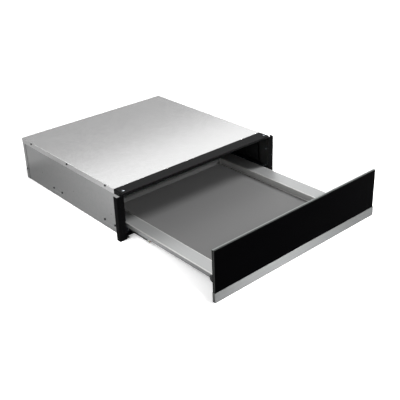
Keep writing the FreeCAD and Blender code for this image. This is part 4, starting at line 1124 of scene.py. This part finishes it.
# --- Studio ---
@dataclass
class Softbox:
    """A rectangular studio lamp that looks at a point.

    One that doesn't light matt surfaces is a reflector card, and one with receivers lights only those.
    """

    name: str
    place: tuple[float, float, float]
    aim: tuple[float, float, float]
    size: tuple[float, float]
    watts: float
    matt: bool = True
    glossy: bool = True
    receivers: tuple[str, ...] = ()

    def build(self) -> None:
        """Make the lamp."""
        lamp = bpy.data.lights.new(self.name, "AREA")
        lamp.shape = "RECTANGLE"
        lamp.size, lamp.size_y = self.size
        lamp.energy = self.watts
        made = linked(self.name, lamp)
        made.location = self.place
        made.visible_camera = False
        made.visible_diffuse, made.visible_glossy = self.matt, self.glossy
        if self.receivers:
            lit = bpy.data.collections.new(f"{self.name}_receivers")
            for name in self.receivers:
                lit.objects.link(bpy.data.objects[name])
            made.light_linking.receiver_collection = lit
        made.rotation_mode = "QUATERNION"
        made.rotation_quaternion = (Vector(self.aim) - Vector(self.place)).to_track_quat("-Z", "Y")


@dataclass
class Studio:
    """White paper, white surroundings, soft lamps and the camera."""

    place: tuple[float, float, float] = (-1.159049, -1.618130, 0.951577)
    azimuth: float = -39.642
    elevation: float = 25.2126
    roll: float = -2.458
    focal_pixels: float = 689.5497
    centre_pixels: tuple[float, float] = (190.0, 170.0)
    sensor_mm: float = 36.0
    clip: tuple[float, float] = (0.05, 60.0)
    floor_side: float = 14.0
    floor_drop_mm: float = 0.2
    fill: tuple[float, float] = (0.15, 0.5)
    lamps: tuple[Softbox, ...] = (
        Softbox("rear_softbox", (0.95, 1.05, 1.38), (0.95, 0.0, 0.28), (2.2, 1.2), 16.5, False),
        Softbox("key_softbox", (1.95, -0.97, 2.1), (0.0, -0.35, 0.05), (0.8, 0.8), 96.0),
        Softbox("front_softbox", (0.6, -2.1, 1.2), (0.0, -0.3, 0.05), (0.9, 0.9), 34.0, glossy=False,
                receivers=("floor", "tray_mat")),
        Softbox("floor_softbox", (-0.6, -0.2, 0.4), (-0.38, 0.0, 0.0), (0.3, 0.3), 3.2, receivers=("floor",)),
        Softbox("low_softbox", (0.85, -1.85, 0.42), (-0.1, -0.64, 0.02), (0.4, 0.4), 30.0, False),
        Softbox("edge_softbox", (-0.95, 1.55, 1.3), (0.0, -0.2, 0.0), (0.9, 0.5), 10.0, False),
    )

    def build(self) -> None:
        """Make everything round the object."""
        self.make_camera()
        self.make_world()
        self.make_floor()
        for lamp in self.lamps:
            lamp.build()
        bpy.context.scene.view_settings.view_transform = "Standard"

    def make_camera(self) -> None:
        """Set the camera with its shifted centre."""
        azimuth, elevation, roll = (math.radians(a) for a in (self.azimuth, self.elevation, self.roll))
        back = Vector((math.sin(azimuth) * math.cos(elevation), -math.cos(azimuth) * math.cos(elevation),
                       math.sin(elevation)))
        right = UP.cross(back).normalized()
        level = Matrix((right, back.cross(right), back)).transposed()
        turn = level @ Matrix.Rotation(roll, 3, "Z")
        data = bpy.data.cameras.new("camera")
        data.sensor_width = self.sensor_mm
        data.lens = self.focal_pixels / IMAGE_SIDE * self.sensor_mm
        data.shift_x = 0.5 - self.centre_pixels[0] / IMAGE_SIDE
        data.shift_y = self.centre_pixels[1] / IMAGE_SIDE - 0.5
        data.clip_start, data.clip_end = self.clip
        camera = linked("camera", data)
        camera.matrix_world = Matrix.Translation(self.place) @ turn.to_4x4()
        bpy.context.scene.camera = camera

    def make_world(self) -> None:
        """White for the camera and in reflections; as a light, a dome that dims towards the horizon."""
        world = bpy.data.worlds.new("studio")
        bpy.context.scene.world = world
        world.use_nodes = True
        tree = world.node_tree
        tree.nodes.clear()
        path = add_node(tree, "ShaderNodeLightPath").outputs
        seen = maths(tree, "ADD", path["Is Camera Ray"], path["Is Glossy Ray"])
        clear = maths(tree, "ADD", seen, path["Is Transmission Ray"], clamp=True)
        dome = ramp(tree, axes(tree, "Generated")["Z"], *self.fill, WHOLE)
        strength = ramp(tree, clear, dome, 1.0, WHOLE)
        glow = add_node(tree, "ShaderNodeBackground", {"Color": (1, 1, 1, 1), "Strength": strength})
        add_node(tree, "ShaderNodeOutputWorld", {"Surface": glow.outputs[0]})

    def make_floor(self) -> None:
        """Lay the paper under the object."""
        mesh = bmesh.new()
        half, height = self.floor_side / 2, -self.floor_drop_mm * MM
        corners = ((-half, -half), (half, -half), (half, half), (-half, half))
        mesh.faces.new([mesh.verts.new((x, y, height)) for x, y in corners])
        data = bpy.data.meshes.new("floor")
        mesh.to_mesh(data)
        mesh.free()
        data.materials.append(Finishes.PAPER.material())
        linked("floor", data)


ASSEMBLIES: tuple[type[Assembly], ...] = (Casing, MouthFrame, Lining, HeaterBox, Runners, PushLatch,
                                          DrawerFront, Tray, Controls)


def main() -> None:
    """Build the studio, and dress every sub-assembly and make its pieces."""
    logging.basicConfig(level=logging.INFO, format="%(name)s: %(message)s")
    Studio().build()
    dressed: list[str] = []
    for kind in ASSEMBLIES:
        assembly = kind()
        LOG.info("%s: %d nodes dressed", kind.__name__, assembly.dress())
        dressed.extend(assembly.nodes)
        for piece in assembly.build():
            LOG.info("%s: %s, %d vertices", kind.__name__, piece.name, len(piece.data.vertices))
    if sorted(dressed) != sorted(frame["nodes"]):
        raise SystemExit(f"not dressed once: {set(frame['nodes']) ^ set(dressed)}")


if __name__ == "__main__":
    main()
